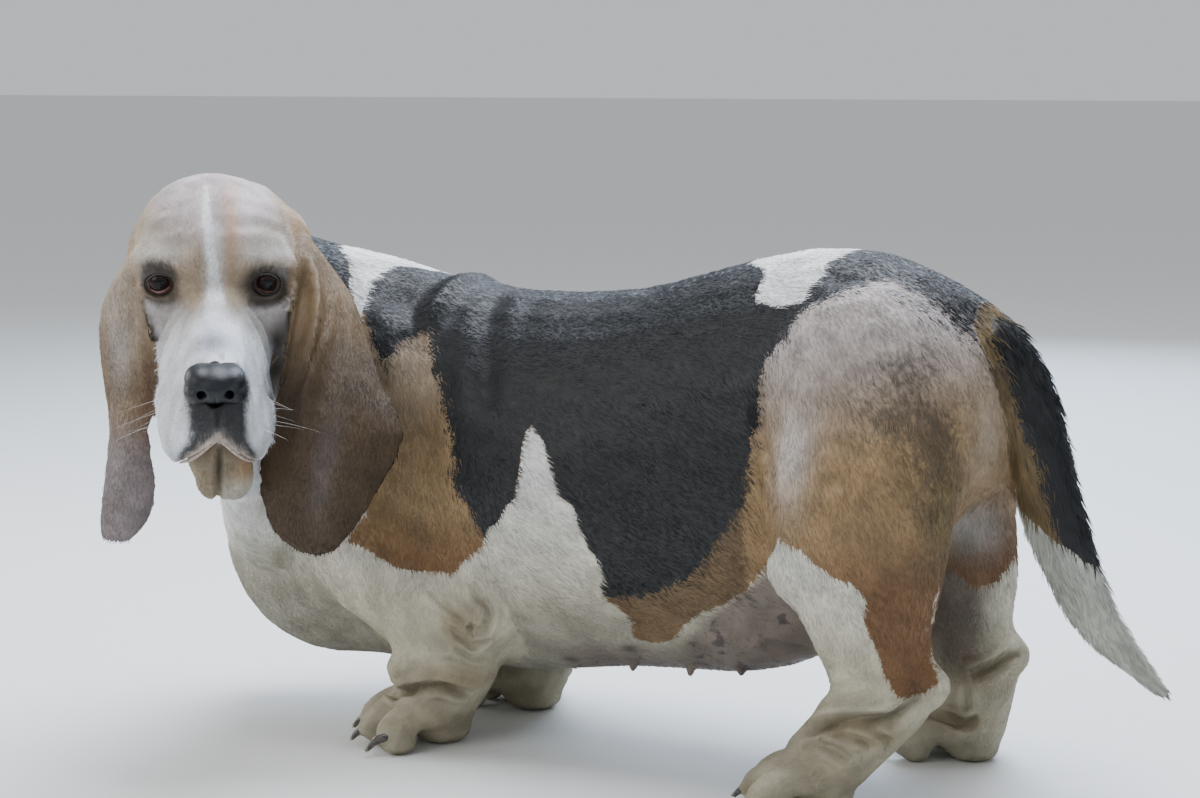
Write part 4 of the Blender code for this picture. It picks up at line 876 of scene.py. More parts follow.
def coat_finish(name, tufts):
    """Short glossy hair: each tuft has one tone, and the skin has the same marking, a little darker."""
    material, shader, wire = new_finish(name, Roughness=0.6, Specular_IOR_Level=0.40)
    root = wire.attribute("root", 1)
    strand = wire.attribute("strand")
    # The markings' edges are worked by the hairs' own waviness, coarse and fine.
    ragged = (wire.noise(root, 130.0, 3.0) - 0.5) * 0.55 + (wire.noise(root, 620.0, 1.0) - 0.5) * 0.45
    ragged = ragged * wire.attribute("fine")
    field = wire.attribute("white")
    white = (field + ragged).between(-0.06, 0.06)
    # Black runs out into tan hair by hair, but has a clean edge where it meets white.
    black = wire.attribute("black")
    crisp = field.between(-0.9, -0.1, 1.0, 0.1)
    black = (black + (ragged * 2.2 + (strand - 0.5) * 1.1) * crisp).between(-0.12, 0.12)
    tan = wire.attribute("tan", 0)
    # Grizzle: single dark hairs among the tan, thicker where the field is high.
    clumps = wire.noise(root, 210.0, 3.0) * 0.5 + strand * 0.5
    dark = (wire.attribute("sable") * 0.62 + clumps).between(0.82, 1.02)
    tan = wire.mix(dark * 0.75, tan, SABLE)
    tone = wire.noise(root, 46.0, 3.0).between(0.30, 0.72, 0.80, 1.16)
    rusting = wire.noise(root, 90.0, 2.0).between(0.45, 0.75)
    ink = wire.mix(rusting, (0.0075, 0.0085, 0.0105), (0.015, 0.015, 0.016))
    colour = wire.mix(black, tan, ink)
    pale = wire.attribute("pale", 0)
    speck = wire.noise(root, 85.0, 3.0).between(0.60, 0.70) * wire.attribute("bare")
    pale = wire.mix(speck * 0.8, pale, (0.05, 0.04, 0.04))
    colour = wire.mix(white, colour, pale)
    colour = wire.mix(wire.attribute("ring") * 0.93, colour, (0.022, 0.018, 0.017))
    shade = tone * strand.between(0.0, 1.0, 0.80, 1.18)
    if tufts:
        shade = shade * wire.attribute("along").between(0.0, 0.9, 0.78, 1.08)
    else:
        shade = shade * 0.86
    grey = wire.node("CombineColor", None, {0: shade, 1: shade, 2: shade})
    feed(shader, "Base Color", wire.mix(1.0, colour, grey, "MULTIPLY"))
    feed(shader, "Roughness", black.between(0.0, 1.0, 0.62, 0.46))
    if not tufts:
        lie = wire.noise(root, 900.0, 2.0)
        bump = wire.node("Bump", None, {"Height": lie, "Strength": 0.5, "Distance": 0.0005})
        feed(shader, "Normal", bump)
    return material


def give_markings(mesh, fields):
    """Stores each field on the mesh's points for its material to read."""
    for name, values in fields.items():
        kind, slot = "FLOAT", "value"
        if name == "root":
            kind, slot = "FLOAT_VECTOR", "vector"
        elif values.ndim == 2:
            kind, slot = "FLOAT_COLOR", "color"
            values = np.column_stack([values, np.ones(len(values))])
        layer = mesh.attributes.new(name, kind, "POINT")
        layer.data.foreach_set(slot, values.astype(np.float32).ravel())


co = places(skin)
part = parts_near(co)
fields = markings(co, part)
fields.update(root=co, strand=np.full(len(co), 0.5))
give_markings(skin, fields)
skin.materials.append(coat_finish("hide_short_hair", False))

# ------------------------------------------------------------------------------------------------- the coat
# Short flat hair, rooted in the hide: closed slivers that lie along the body, longest on the tail and the
# trunk and shortest on the face. Each is a thin wedge with its wide end sunk in the skin and its tip
# standing off a little.

# Length, width and how far the tips stand off, for each part.
HAIR = {name: (0.0066, 0.00078, 0.0009) for name in ("torso", "neck", "hindleg_left", "hindleg_right")}
HAIR.update({name: (0.0052, 0.00068, 0.0007) for name in ("foreleg_left", "foreleg_right")})
HAIR.update({name: (0.0040, 0.00060, 0.0006) for name in FLESH if "paw" in name})
HAIR.update({name: (0.0036, 0.00050, 0.0005) for name in ("head", "lower_jaw")})
HAIR.update({name: (0.0046, 0.00062, 0.0005) for name in ("ear_left", "ear_right")})
HAIR["tail"] = (0.0120, 0.00095, 0.0024)
COVER = 1.55  # how many hairs would lie over each spot, on average, with no limit on their number
MOST_TUFTS = 368000
TUFTS_IN_A_PIECE = 49000  # of four faces each, which keeps a piece under 200,000
BARE_LOSS = 0.85  # how much of the hair is missing where the skin is bare
SUNK = 0.00035  # how deep a tuft's wide end stands in the skin
LOWEST = 0.0003  # no hair reaches lower than this over the floor

# Where the hair points: places in the maker's measures, each with the lie there. The trunk's are mirrored.
LIE = [
    ((-0.19, -0.05, 0.36), (0.9, 0, -0.05)), ((-0.10, -0.07, 0.34), (1, 0, -0.15)),
    ((0.0, -0.04, 0.365), (1, 0, 0)), ((0.10, -0.04, 0.385), (1, 0, 0)),
    ((0.20, -0.03, 0.375), (0.9, 0, -0.4)), ((0.245, -0.03, 0.33), (0.5, 0, -0.85)),
    ((-0.20, -0.11, 0.27), (0.45, 0, -0.9)), ((-0.17, -0.11, 0.20), (0.3, 0, -0.95)),
    ((-0.08, -0.11, 0.25), (0.85, 0, -0.5)), ((0.0, -0.115, 0.24), (0.9, 0, -0.42)),
    ((0.07, -0.105, 0.25), (0.9, 0, -0.4)), ((-0.06, -0.09, 0.15), (0.85, 0, -0.5)),
    ((0.0, -0.05, 0.09), (1, 0, -0.1)), ((0.08, -0.07, 0.13), (0.8, -0.1, -0.5)),
    ((0.17, -0.09, 0.33), (0.6, 0, -0.8)), ((0.13, -0.12, 0.28), (0.35, 0, -0.93)),
    ((0.18, -0.12, 0.25), (0.45, 0, -0.9)), ((0.23, -0.09, 0.27), (0.25, 0, -0.95)),
    ((0.14, -0.125, 0.20), (0.25, 0, -0.97)), ((0.20, -0.12, 0.15), (0.35, 0, -0.93)),
    ((0.18, -0.12, 0.10), (-0.2, 0, -0.98)), ((0.225, -0.09, 0.10), (0.1, 0, -1)),
    ((0.14, -0.10, 0.045), (-0.8, 0, -0.6)), ((0.10, -0.10, 0.02), (-0.95, 0, -0.3)),
    ((-0.15, -0.11, 0.12), (0.1, 0, -1)), ((-0.17, -0.11, 0.08), (0, 0, -1)),
    ((-0.19, -0.08, 0.045), (-0.75, -0.3, -0.6)), ((-0.33, -0.04, 0.22), (0.1, 0, -1)),
    ((-0.30, -0.03, 0.13), (0.6, 0, -0.7)), ((-0.25, -0.02, 0.085), (1, 0, -0.1)),
    ((-0.27, -0.10, 0.30), (0.35, 0.1, -0.93)), ((-0.27, -0.04, 0.38), (0.65, 0.6, -0.3)),
    ((-0.34, -0.12, 0.25), (0, 0.1, -1)), ((0.25, -0.02, 0.20), (0.1, 0, -1)),
    ((0.19, -0.03, 0.12), (0, 0, -1)),
]
HEAD_LIE = [
    ((0.09, 0.004, -0.02), (-1, 0, 0.1)), ((0.05, 0.004, -0.015), (-1, 0.1, 0.2)),
    ((0.0, 0.004, 0.02), (-0.6, 0.1, 0.8)), ((-0.03, 0.004, 0.06), (-0.9, 0, 0.4)),
    ((-0.08, 0.004, 0.065), (-1, 0, 0)), ((-0.13, 0.004, 0.04), (-0.5, 0, -0.8)),
    ((-0.01, 0.035, 0.022), (-0.5, 0.5, 0.5)), ((-0.05, 0.055, 0.03), (-0.8, 0.3, -0.4)),
    ((0.0, 0.042, -0.03), (-0.5, 0.2, -0.8)), ((-0.04, 0.06, -0.04), (-0.5, 0.1, -0.85)),
    ((0.07, 0.03, -0.05), (-0.6, 0.1, -0.75)), ((0.05, 0.035, -0.09), (-0.3, 0, -1)),
    ((0.105, 0.012, -0.065), (-0.1, 0.35, -0.93)), ((0.08, 0.004, -0.11), (-0.4, 0, -0.9)),
    ((0.03, 0.025, -0.12), (-0.8, 0, -0.5)), ((0.10, 0.02, -0.035), (-0.7, 0.6, -0.4)),
]
TAIL_LIE = [
    ((0.250, MEDIAN, 0.345), (0.6, 0, -0.8)), ((0.270, MEDIAN, 0.300), (0.35, 0, -0.94)),
    ((0.290, MEDIAN, 0.230), (0.25, 0, -0.96)), ((0.320, MEDIAN, 0.150), (0.42, 0, -0.9)),
    ((0.365, MEDIAN, 0.080), (0.6, 0, -0.8)), ((0.400, MEDIAN, 0.050), (0.7, 0, -0.7)),
]


def lie_of(co, part):
    """Which way the hair points at each point, before it is laid flat on the skin."""
    at = co - ORIGIN
    names = np.array(FLESH)[part]
    total = np.zeros((len(co), 3))
    turn = np.array(HEAD_TURN.to_3x3())
    guides = []
    for spot, way in LIE:
        # The nape is turned with the head, so the lie there isn't mirrored.
        on_nape = abs(spot[0] + 0.27) < 0.03 and spot[2] > 0.35
        for side in ((1,) if on_nape else (1, -1)):
            mirror = np.array((1, side, 1))
            place = np.array((spot[0], MEDIAN + (spot[1] - MEDIAN) * side, spot[2]))
            guides.append((place, np.array(way) * mirror))
    for spot, way in HEAD_LIE:
        for side in (1, -1):
            mirror = np.array((1, side, 1))
            guides.append((turn @ (spot * mirror) + np.array(HEAD_AT), turn @ (way * mirror)))
    for place, way in guides:
        weight = 1 / (((at - place) ** 2).sum(1) + 0.02**2) ** 2
        total += (way / np.linalg.norm(way)) * weight[:, None]
    tail_way = np.zeros_like(total)
    for spot, way in TAIL_LIE:
        weight = 1 / (((at - spot) ** 2).sum(1) + 0.01**2) ** 2
        tail_way += (np.array(way) / np.linalg.norm(way)) * weight[:, None]
    total = np.where((names == "tail")[:, None], tail_way, total)
    total = np.where((names == "ear_left")[:, None], (0.10, -0.25, -0.95), total)
    total = np.where((names == "ear_right")[:, None], (0.15, -0.20, -0.95), total)
    return total


def unit(vectors):
    """The vectors, each made one long."""
    return vectors / np.maximum(np.linalg.norm(vectors, axis=1), 1e-12)[:, None]


def waves(at, size, seed):
    """A cheap smooth unevenness between -1 and 1."""
    rng = np.random.default_rng(seed)
    total = np.zeros(len(at))
    for _ in range(6):
        way = rng.normal(size=3) / size
        total += np.sin(at @ way * 6.283 / 2 + rng.uniform(0, 6.283))
    return total / 3


# The hide's triangles, with their corners, bake map and normals.
skin.calc_loop_triangles()
tris = np.empty(len(skin.loop_triangles) * 3, np.int32)
skin.loop_triangles.foreach_get("vertices", tris)
loops = np.empty(len(skin.loop_triangles) * 3, np.int32)
skin.loop_triangles.foreach_get("loops", loops)
tris, loops = tris.reshape(-1, 3), loops.reshape(-1, 3)
unwrap = np.empty(len(skin.loops) * 2, np.float32)
skin.uv_layers["OFBake"].data.foreach_get("uv", unwrap)
unwrap = unwrap.reshape(-1, 2)
co = places(skin)
out = normals(skin)
corner = co[tris]
area = 0.5 * np.linalg.norm(np.cross(corner[:, 1] - corner[:, 0], corner[:, 2] - corner[:, 0]), axis=1)

# How many tufts each triangle wants, and where each tuft stands on it.
sizes = np.array([HAIR[name] for name in FLESH])
hair = np.stack([spread(skin, sizes[part][:, i], 6) for i in range(3)], axis=1)
low_down = step(-(co[:, 2] - ORIGIN.z), -0.150, -0.105)  # close and short below elbow and hock
hair *= 1 - np.outer(low_down, (0.40, 0.18, 0.50))
wanted = area * COVER / (hair[tris[:, 0], 0] * hair[tris[:, 0], 1])
bare = fields["bare"][tris].mean(1)
wanted *= 1 - BARE_LOSS * bare
count = int(min(wanted.sum(), MOST_TUFTS) * (1))
rng = np.random.default_rng(7)
draw = (np.arange(count) + rng.random(count)) / count
face = np.minimum(np.searchsorted(np.cumsum(wanted) / wanted.sum(), draw), len(tris) - 1)
share = rng.random((count, 2))
fold_over = share.sum(1) > 1
share[fold_over] = 1 - share[fold_over]
share = np.column_stack([1 - share.sum(1), share])[:, :, None]
root = (corner[face] * share).sum(1)
up = unit((out[tris[face]] * share).sum(1))
size = (hair[tris[face]] * share).sum(1)
uv = (unwrap[loops[face]] * share).sum(1)
owner = part[tris[face, 0]]
length = size[:, 0] * rng.uniform(0.75, 1.2, count)
width = size[:, 1] * rng.uniform(0.8, 1.25, count)
lift = size[:, 2] * rng.uniform(0.5, 1.5, count) * (1 + 0.45 * waves(root, 0.012, 3))

# Each tuft is laid flat along the hide and its tip set down on the skin ahead of it, or left where it misses.
way = lie_of(root, owner)
way = unit(way - up * (way * up).sum(1)[:, None])
aside = np.cross(up, way)
swing = (0.20 * waves(root, 0.014, 5) + 0.16 * rng.normal(size=count))[:, None]
way = unit(way + aside * swing)
aside = np.cross(up, way)
reach = root + way * length[:, None]
tree = BVHTree.FromPolygons(co.tolist(), tris.tolist())
found = [tree.find_nearest(point) for point in reach.tolist()]
landed = np.array([hit[0] for hit in found])
landed_up = unit(out[tris[[hit[2] for hit in found]]].mean(1))
lost = ((landed_up * up).sum(1) < 0.1) | (np.linalg.norm(landed - reach, axis=1) > 0.5 * length)
landed = np.where(lost[:, None], reach - up * (0.12 * length)[:, None], landed)
landed_up = np.where(lost[:, None], up, landed_up)
tip = landed + landed_up * lift[:, None]

# The wedge: two feet sunk in the skin, a ridge half way along, which follows the skin's curve, and the tip.
curve = length * ((landed_up - up) * way).sum(1) / 8
middle_up = unit(up + landed_up)
rise = np.clip(curve, -0.001, 0.001) + 0.50 * lift + 0.00012
ridge = (root * 0.55 + landed * 0.45) + middle_up * rise[:, None]
sunk = root - up * SUNK
left_foot = sunk + aside * (width / 2)[:, None]
right_foot = sunk - aside * (width / 2)[:, None]
points = np.stack([left_foot, right_foot, ridge, tip], axis=1)
points[:, :, 2] = np.maximum(points[:, :, 2], LOWEST)
# Its shading normals are mostly the skin's, so that the coat shades as one surface.
soft = np.stack([up, up, middle_up, landed_up], axis=1) * 0.80
lean = np.stack([aside, -aside, middle_up * 0, middle_up * 0], axis=1) * 0.45 + way[:, None, :] * 0.10
soft = soft + lean
WEDGE = np.array([(0, 1, 2), (1, 3, 2), (3, 0, 2), (0, 3, 1)])
a, b, c, d = (points[:, i] for i in range(4))
turned = (np.cross(b - a, c - a) * (d - a)).sum(1) > 0
# Each tuft's patch of the bake map, about its root's place.
PATCH = np.array([(-0.0015, -0.0015), (0.0015, -0.0015), (0.0, 0.0), (0.0, 0.0015)])
ALONG = (0.0, 0.0, 0.5, 1.0)  # how far along the tuft its four points stand
tuft_fields = markings(root, owner)
tuft_fields.update(root=root, strand=rng.random(count))
coat_material = coat_finish("coat_short_hair", True)
order = np.argsort(owner, kind="stable")
GROUPS = {
    "coat_trunk": ("torso",),
    "coat_head": ("head", "lower_jaw"),
    "coat_ears": ("ear_left", "ear_right"),
    "coat_neck_and_tail": ("neck", "tail"),
    "coat_legs": tuple(name for name in FLESH if "foreleg" in name or "paw" in name),
    "coat_haunches": ("hindleg_left", "hindleg_right"),
}


def tuft_piece(name, chosen):
    """One mesh of the chosen tufts, with its markings, soft shading and bake map."""
    n = len(chosen)
    mesh = bpy.data.meshes.new(name)
    faces = WEDGE[None] + (np.arange(n) * 4)[:, None, None]
    flip = turned[chosen]
    faces[flip] = faces[flip][:, :, ::-1]
    mesh.vertices.add(n * 4)
    mesh.vertices.foreach_set("co", points[chosen].astype(np.float32).ravel())
    mesh.loops.add(n * 12)
    mesh.loops.foreach_set("vertex_index", faces.astype(np.int32).ravel())
    mesh.polygons.add(n * 4)
    mesh.polygons.foreach_set("loop_start", np.arange(0, n * 12, 3, dtype=np.int32))
    mesh.update(calc_edges=True)
    mesh.polygons.foreach_set("use_smooth", np.ones(n * 4, bool))
    corners = faces.reshape(n, 12) - (np.arange(n) * 4)[:, None]
    flat = uv[chosen][:, None, :] + PATCH[corners]
    mesh.uv_layers.new(name="OFBake").data.foreach_set("uv", np.clip(flat, 0, 1).astype(np.float32).ravel())
    give_markings(mesh, {key: np.repeat(values[chosen], 4, axis=0) for key, values in tuft_fields.items()})
    give_markings(mesh, {"along": np.tile(ALONG, n)})
    mesh.normals_split_custom_set_from_vertices(unit(soft[chosen].reshape(-1, 3)).tolist())
    mesh.materials.append(coat_material)
    obj = bpy.data.objects.new(name, mesh)
    bpy.context.collection.objects.link(obj)
    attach(obj, "root")


for name, members in GROUPS.items():
    chosen = order[np.isin(np.array(FLESH)[owner[order]], members)]
    lots = max(1, math.ceil(len(chosen) / TUFTS_IN_A_PIECE))
    for number, lot in enumerate(np.array_split(chosen, lots)):
        tuft_piece(f"{name}_{number + 1}" if lots > 1 else name, lot)

# ------------------------------------------------------------------------------------------------- the eyes
# Each eye is a ball that bulges at the cornea, with a dark brown iris. Dark wet lids run round it, and the
# red haw shows above the drooping lower lid.

EYE_RADIUS = 0.0122
BULGE = 0.0010  # how far the cornea stands out of the ball
CORNEA_RADIUS = 0.0068
HAND = {"eye_left": 1, "eye_right": -1}


def eye_finish(name, centre, gaze):
    """Pupil, iris with radial streaks, dark ring and dull white, set out by the angle from the gaze."""
    shine = {"Coat_Weight": 0.3, "Coat_Roughness": 0.05, "Specular_IOR_Level": 0.05}
    material, shader, wire = new_finish(name, Roughness=0.3, **shine)
    place = wire.node("TexCoord", output=3)
    ray = wire.node("VectorMath", {"operation": "SUBTRACT"}, {0: place, 1: centre})
    ray = wire.node("VectorMath", {"operation": "NORMALIZE"}, {0: ray})
    facing = wire.node("VectorMath", {"operation": "DOT_PRODUCT"}, {0: ray, 1: gaze}, output=1)
    streaks = wire.noise(ray, 26.0, 4.0)
    iris = wire.mix(streaks.between(0.35, 0.65), (0.008, 0.005, 0.004), (0.026, 0.013, 0.008))
    iris = wire.mix(facing.between(0.925, 0.960), iris, (0.004, 0.004, 0.005))
    white = wire.mix(streaks.between(0.4, 0.7), (0.16, 0.12, 0.11), (0.12, 0.06, 0.05))
    white = wire.mix(facing.between(0.70, 0.80), white, (0.030, 0.020, 0.018))
    feed(shader, "Base Color", wire.mix(facing.between(0.80, 0.83), white, iris))
    return material


for name, left in HAND.items():
    low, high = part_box(name)
    centre = (low + high) / 2
    gaze = (HEAD.to_3x3() @ Vector((math.cos(0.05), math.sin(0.05) * left, -0.06))).normalized()
    bpy.ops.object.select_all(action="DESELECT")
    bpy.ops.mesh.primitive_uv_sphere_add(
        segments=48, ring_count=32, radius=EYE_RADIUS - 0.0001, location=centre,
        rotation=gaze.to_track_quat("Z", "Y").to_euler(),
    )
    ball = bpy.context.object
    ball.name = ball.data.name = name + "_ball"
    bpy.ops.object.transform_apply(location=True, rotation=True, scale=True)
    bpy.ops.object.mode_set(mode="EDIT")
    bpy.ops.mesh.select_all(action="DESELECT")
    bpy.ops.object.mode_set(mode="OBJECT")
    front = max(ball.data.vertices, key=lambda v: (v.co - centre).dot(gaze))
    front.select = True
    bpy.ops.object.mode_set(mode="EDIT")
    bpy.ops.mesh.select_mode(type="VERT")
    bpy.ops.transform.translate(
        value=gaze * BULGE, use_proportional_edit=True, proportional_edit_falloff="SPHERE",
        proportional_size=CORNEA_RADIUS,
    )
    bpy.ops.object.mode_set(mode="OBJECT")
    bpy.ops.object.shade_smooth()
    ball.data.materials.append(eye_finish(name + "_wet", centre, gaze))
    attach(ball, "root")
    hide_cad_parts(name)

lid_leather, shader, wire = new_finish("lid_leather", Coat_Weight=0.35, Coat_Roughness=0.25)
grain = wire.noise(wire.node("TexCoord", output=3), 900.0, 3.0)
feed(shader, "Base Color", wire.mix(grain.between(0.3, 0.7), (0.010, 0.008, 0.008), (0.030, 0.022, 0.020)))
feed(shader, "Roughness", grain.between(0.3, 0.7, 0.30, 0.50))
haw_flesh, shader, wire = new_finish("haw_flesh", Coat_Weight=0.4, Coat_Roughness=0.15, Roughness=0.45)
grain = wire.noise(wire.node("TexCoord", output=3), 700.0, 3.0)
feed(shader, "Base Color", wire.mix(grain.between(0.3, 0.7), (0.10, 0.034, 0.028), (0.16, 0.068, 0.055)))


def swept(name, path, radii, closed=False):
    """A tube of changing thickness along a path, made as a bevelled curve and turned into a mesh."""
    curve = bpy.data.curves.new(name, "CURVE")
    curve.dimensions = "3D"
    curve.resolution_u = 6
    curve.bevel_depth = 1.0
    curve.bevel_resolution = 3
    curve.use_fill_caps = not closed
    spline = curve.splines.new("NURBS")
    spline.points.add(len(path) - 1)
    for point, place, radius in zip(spline.points, path, radii):
        point.co = (*place, 1)
        point.radius = radius
    spline.use_cyclic_u = closed
    spline.use_endpoint_u = not closed
    spline.order_u = 4
    obj = bpy.data.objects.new(name, curve)
    bpy.context.collection.objects.link(obj)
    bpy.ops.object.select_all(action="DESELECT")
    bpy.context.view_layer.objects.active = obj
    obj.select_set(True)
    bpy.ops.object.convert(target="MESH")
    obj = bpy.context.object
    bpy.ops.object.shade_smooth()
    return obj


# The lids' margin and the haw, in degrees round the eye from the head's own forward direction: aside,
# towards the outer corner, and up, with half the thickness there.
LID_MARGIN = [
    (-58, -9, 0.0006), (-46, 11, 0.0009), (-30, 26, 0.0011), (-8, 35, 0.0012), (16, 34, 0.0012),
    (38, 20, 0.0011), (54, -2, 0.0008), (58, -16, 0.0007), (46, -32, 0.0009), (26, -46, 0.0010),
    (2, -51, 0.0010), (-22, -42, 0.0009), (-42, -25, 0.0008),
]
HAW = [
    (-52, -11, 0.0008), (-38, -18, 0.0020), (-18, -30, 0.0026), (4, -38, 0.0027), (26, -36, 0.0022),
    (44, -24, 0.0010),
]


def round_the_eye(centre, left, aside, up, radius):
    """A place on a sphere round the eye, at those angles."""
    a, b = math.radians(aside) * left, math.radians(up)
    ray = Vector((math.cos(a) * math.cos(b), math.sin(a) * math.cos(b), math.sin(b)))
    return centre + HEAD.to_3x3() @ ray * radius


for name, left in HAND.items():
    low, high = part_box(name)
    centre = (low + high) / 2
    path = [round_the_eye(centre, left, a, b, EYE_RADIUS + 0.0007) for a, b, _ in LID_MARGIN]
    margin = swept(name.replace("eye", "lids"), path, [r for *_, r in LID_MARGIN], closed=True)
    margin.data.materials.append(lid_leather)
    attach(margin, "root")
    fullness = 0.62 if left > 0 else 1.0  # the left lower lid hangs less
    path = [round_the_eye(centre, left, a, b, EYE_RADIUS - 0.0010) for a, b, _ in HAW]
    haw = swept(name.replace("eye", "haw"), path, [r * fullness for *_, r in HAW])
    haw.data.materials.append(haw_flesh)
    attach(haw, "root")

# ------------------------------------------------------------------------------------------------- the nose
# A broad pad of black, pebbled, slightly moist leather with two nostrils, and a furrow down from between
# them. It is cast over a copy of the nose's solid and smoothed.

nose = copy_of("nose", "nose_leather_pad")
nose.data.materials.clear()
NOSE_GRAIN = 0.0006
apply(nose, "REMESH", mode="VOXEL", voxel_size=NOSE_GRAIN)
relax(nose.data, np.full(len(nose.data.vertices), 1.0), 70)
co = places(nose.data)
head = head_measures(co)
# The top plane is evened out; the front keeps its nostrils.
even = np.stack([spread(nose.data, head[:, axis], 60) for axis in range(3)], axis=1)
top = step(head[:, 2], -0.037, -0.030)
head += (even - head) * top[:, None]
head[:, 2] += 0.0007 * top
# The furrow runs down the middle of the front.
furrow = np.exp(-(((head[:, 1] + 0.0018) / 0.0010) ** 2))
furrow *= step(-head[:, 2], 0.036, 0.044) * step(head[:, 0], 0.112, 0.118)
head[:, 0] -= 0.0011 * furrow
# Undercut below, so that a dark gap is left over the lip.
head[:, 0] -= 2.2 * np.maximum(-0.0485 - head[:, 2], 0)
matrix = np.array(HEAD)
set_places(nose.data, head @ matrix[:3, :3].T + matrix[:3, 3])
nose.data.polygons.foreach_set("use_smooth", [True] * len(nose.data.polygons))
moist = {"Coat_Weight": 0.10, "Coat_Roughness": 0.35, "Specular_IOR_Level": 0.30}
leather, shader, wire = new_finish("nose_leather_black", **moist)
place = wire.node("TexCoord", output=3)
cells = {"Vector": place, "Scale": 820.0, "Smoothness": 0.7}
pebble = wire.node("TexVoronoi", {"feature": "SMOOTH_F1"}, cells)
mottle = wire.noise(place, 160.0, 3.0)
feed(shader, "Base Color", wire.mix(mottle.between(0.35, 0.70), (0.006, 0.007, 0.009), (0.011, 0.013, 0.018)))
feed(shader, "Roughness", mottle.between(0.3, 0.7, 0.40, 0.47))
feed(shader, "Normal", wire.node("Bump", None, {"Height": 1 - pebble, "Strength": 0.22, "Distance": 0.0005}))
nose.data.materials.append(leather)
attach(nose, "root")
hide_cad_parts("nose")

# ------------------------------------------------------------------------------------------------- the lips
# The bare pink-white margins of the upper lips, which part in a peak under the nose. Each is a thin tapered
# roll, laid along the hide's edge.


def head_place(forward, left, up):
    """A place in the head's own measures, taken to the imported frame."""
    return HEAD @ Vector((forward, left, up))


lip_flesh, shader, wire = new_finish("lip_margin", Coat_Weight=0.1, Coat_Roughness=0.35)
mottle = wire.noise(wire.node("TexCoord", output=3), 260.0, 4.0)
feed(shader, "Base Color", wire.mix(mottle.between(0.35, 0.65), (0.30, 0.215, 0.185), (0.42, 0.34, 0.30)))
feed(shader, "Roughness", mottle.between(0.3, 0.7, 0.42, 0.58))
for name, left in (("lip_left", 1), ("lip_right", -1)):
    lip = swept(name, [head_place(f, a * left, u) for f, a, u, _ in LIP], [r for *_, r in LIP])
    lip.data.materials.append(lip_flesh)
    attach(lip, "root")

# --------------------------------------------------------------------------------------------- the whiskers
# Stiff white whiskers in three rows on each flew. Each is a tapered three-sided bristle, rooted in the hide
# and bent back and down.

BRISTLE = 0.00014  # half its thickness at the root
WHISKER_ROWS = (-0.056, -0.067, -0.079)  # how high each row starts, in the head's measures
IN_A_ROW = 3
bristle, shader, wire = new_finish("whisker_white", Roughness=0.35)
tone = wire.noise(wire.node("TexCoord", output=3), 60.0, 2.0)
feed(shader, "Base Color", wire.mix(tone.between(0.3, 0.7), (0.62, 0.60, 0.56), (0.80, 0.79, 0.77)))
rng = np.random.default_rng(11)
roots = []
for row, up in enumerate(WHISKER_ROWS):
    for i in range(IN_A_ROW):
        roots.append((0.094 - 0.015 * i - 0.004 * row, up - 0.003 * i, rng.uniform(0.020, 0.034) + 0.006 * i))
bend = HEAD.to_3x3() @ Vector((-0.5, 0, -0.6))
bristles = []
for forward, up, reach in roots:
    for left in (1, -1):
        spot, normal, *_ = tree.find_nearest(head_place(forward, 0.036 * left, up))
        normal = Vector(normal)
        lean = HEAD.to_3x3() @ Vector((-0.25, 0.25 * left, -0.45))
        way = (normal * 0.8 + lean + Vector(rng.normal(size=3)) * 0.20).normalized()
        start = spot - normal * 0.001
        bristles.append([start + way * reach * t + bend * reach * 0.22 * t * t for t in (0, 0.35, 0.7, 1.0)])


def bristle_piece(name, lines, thickness, material):
    """Three-sided tapered hairs joined in one mesh."""
    bpy.ops.object.select_all(action="DESELECT")
    verts, faces = [], []
    for line in lines:
        base = len(verts)
        way = (line[-1] - line[0]).normalized()
        side_way = way.orthogonal().normalized()
        other = way.cross(side_way)
        for k, spot in enumerate(line[:-1]):
            radius = thickness * (1 - k / (len(line) - 0.6))
            for corner in range(3):
                angle = math.tau * corner / 3
                verts.append(spot + (side_way * math.cos(angle) + other * math.sin(angle)) * radius)
        verts.append(line[-1])
        faces.append((base + 2, base + 1, base))
        for k in range(len(line) - 2):
            for corner in range(3):
                a, b = base + 3 * k + corner, base + 3 * k + (corner + 1) % 3
                faces.append((a, b, b + 3, a + 3))
        last = base + 3 * (len(line) - 2)
        for corner in range(3):
            faces.append((last + corner, last + (corner + 1) % 3, last + 3))
    mesh = bpy.data.meshes.new(name)
    mesh.from_pydata(verts, [], faces)
    mesh.materials.append(material)
    obj = bpy.data.objects.new(name, mesh)
    bpy.context.collection.objects.link(obj)
    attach(obj, "root")


bristle_piece("whiskers", bristles, BRISTLE, bristle)

# ------------------------------------------------------------------------------------------------ the claws
# Four short blunt claws of dark horn on each foot, curving down from the ends of the toes. Each is swept
# along its curve and sunk in the toe, and the four are joined.

# Where each foot stands, its heading from -X in degrees, and its size.
FEET = {
    "fore_left": ((-0.190, -0.078), 30, 1.0), "fore_right": ((-0.172, 0.052), -26, 1.0),
    "hind_left": ((0.142, -0.097), 6, 0.9), "hind_right": ((0.198, 0.072), -12, 0.9),
}
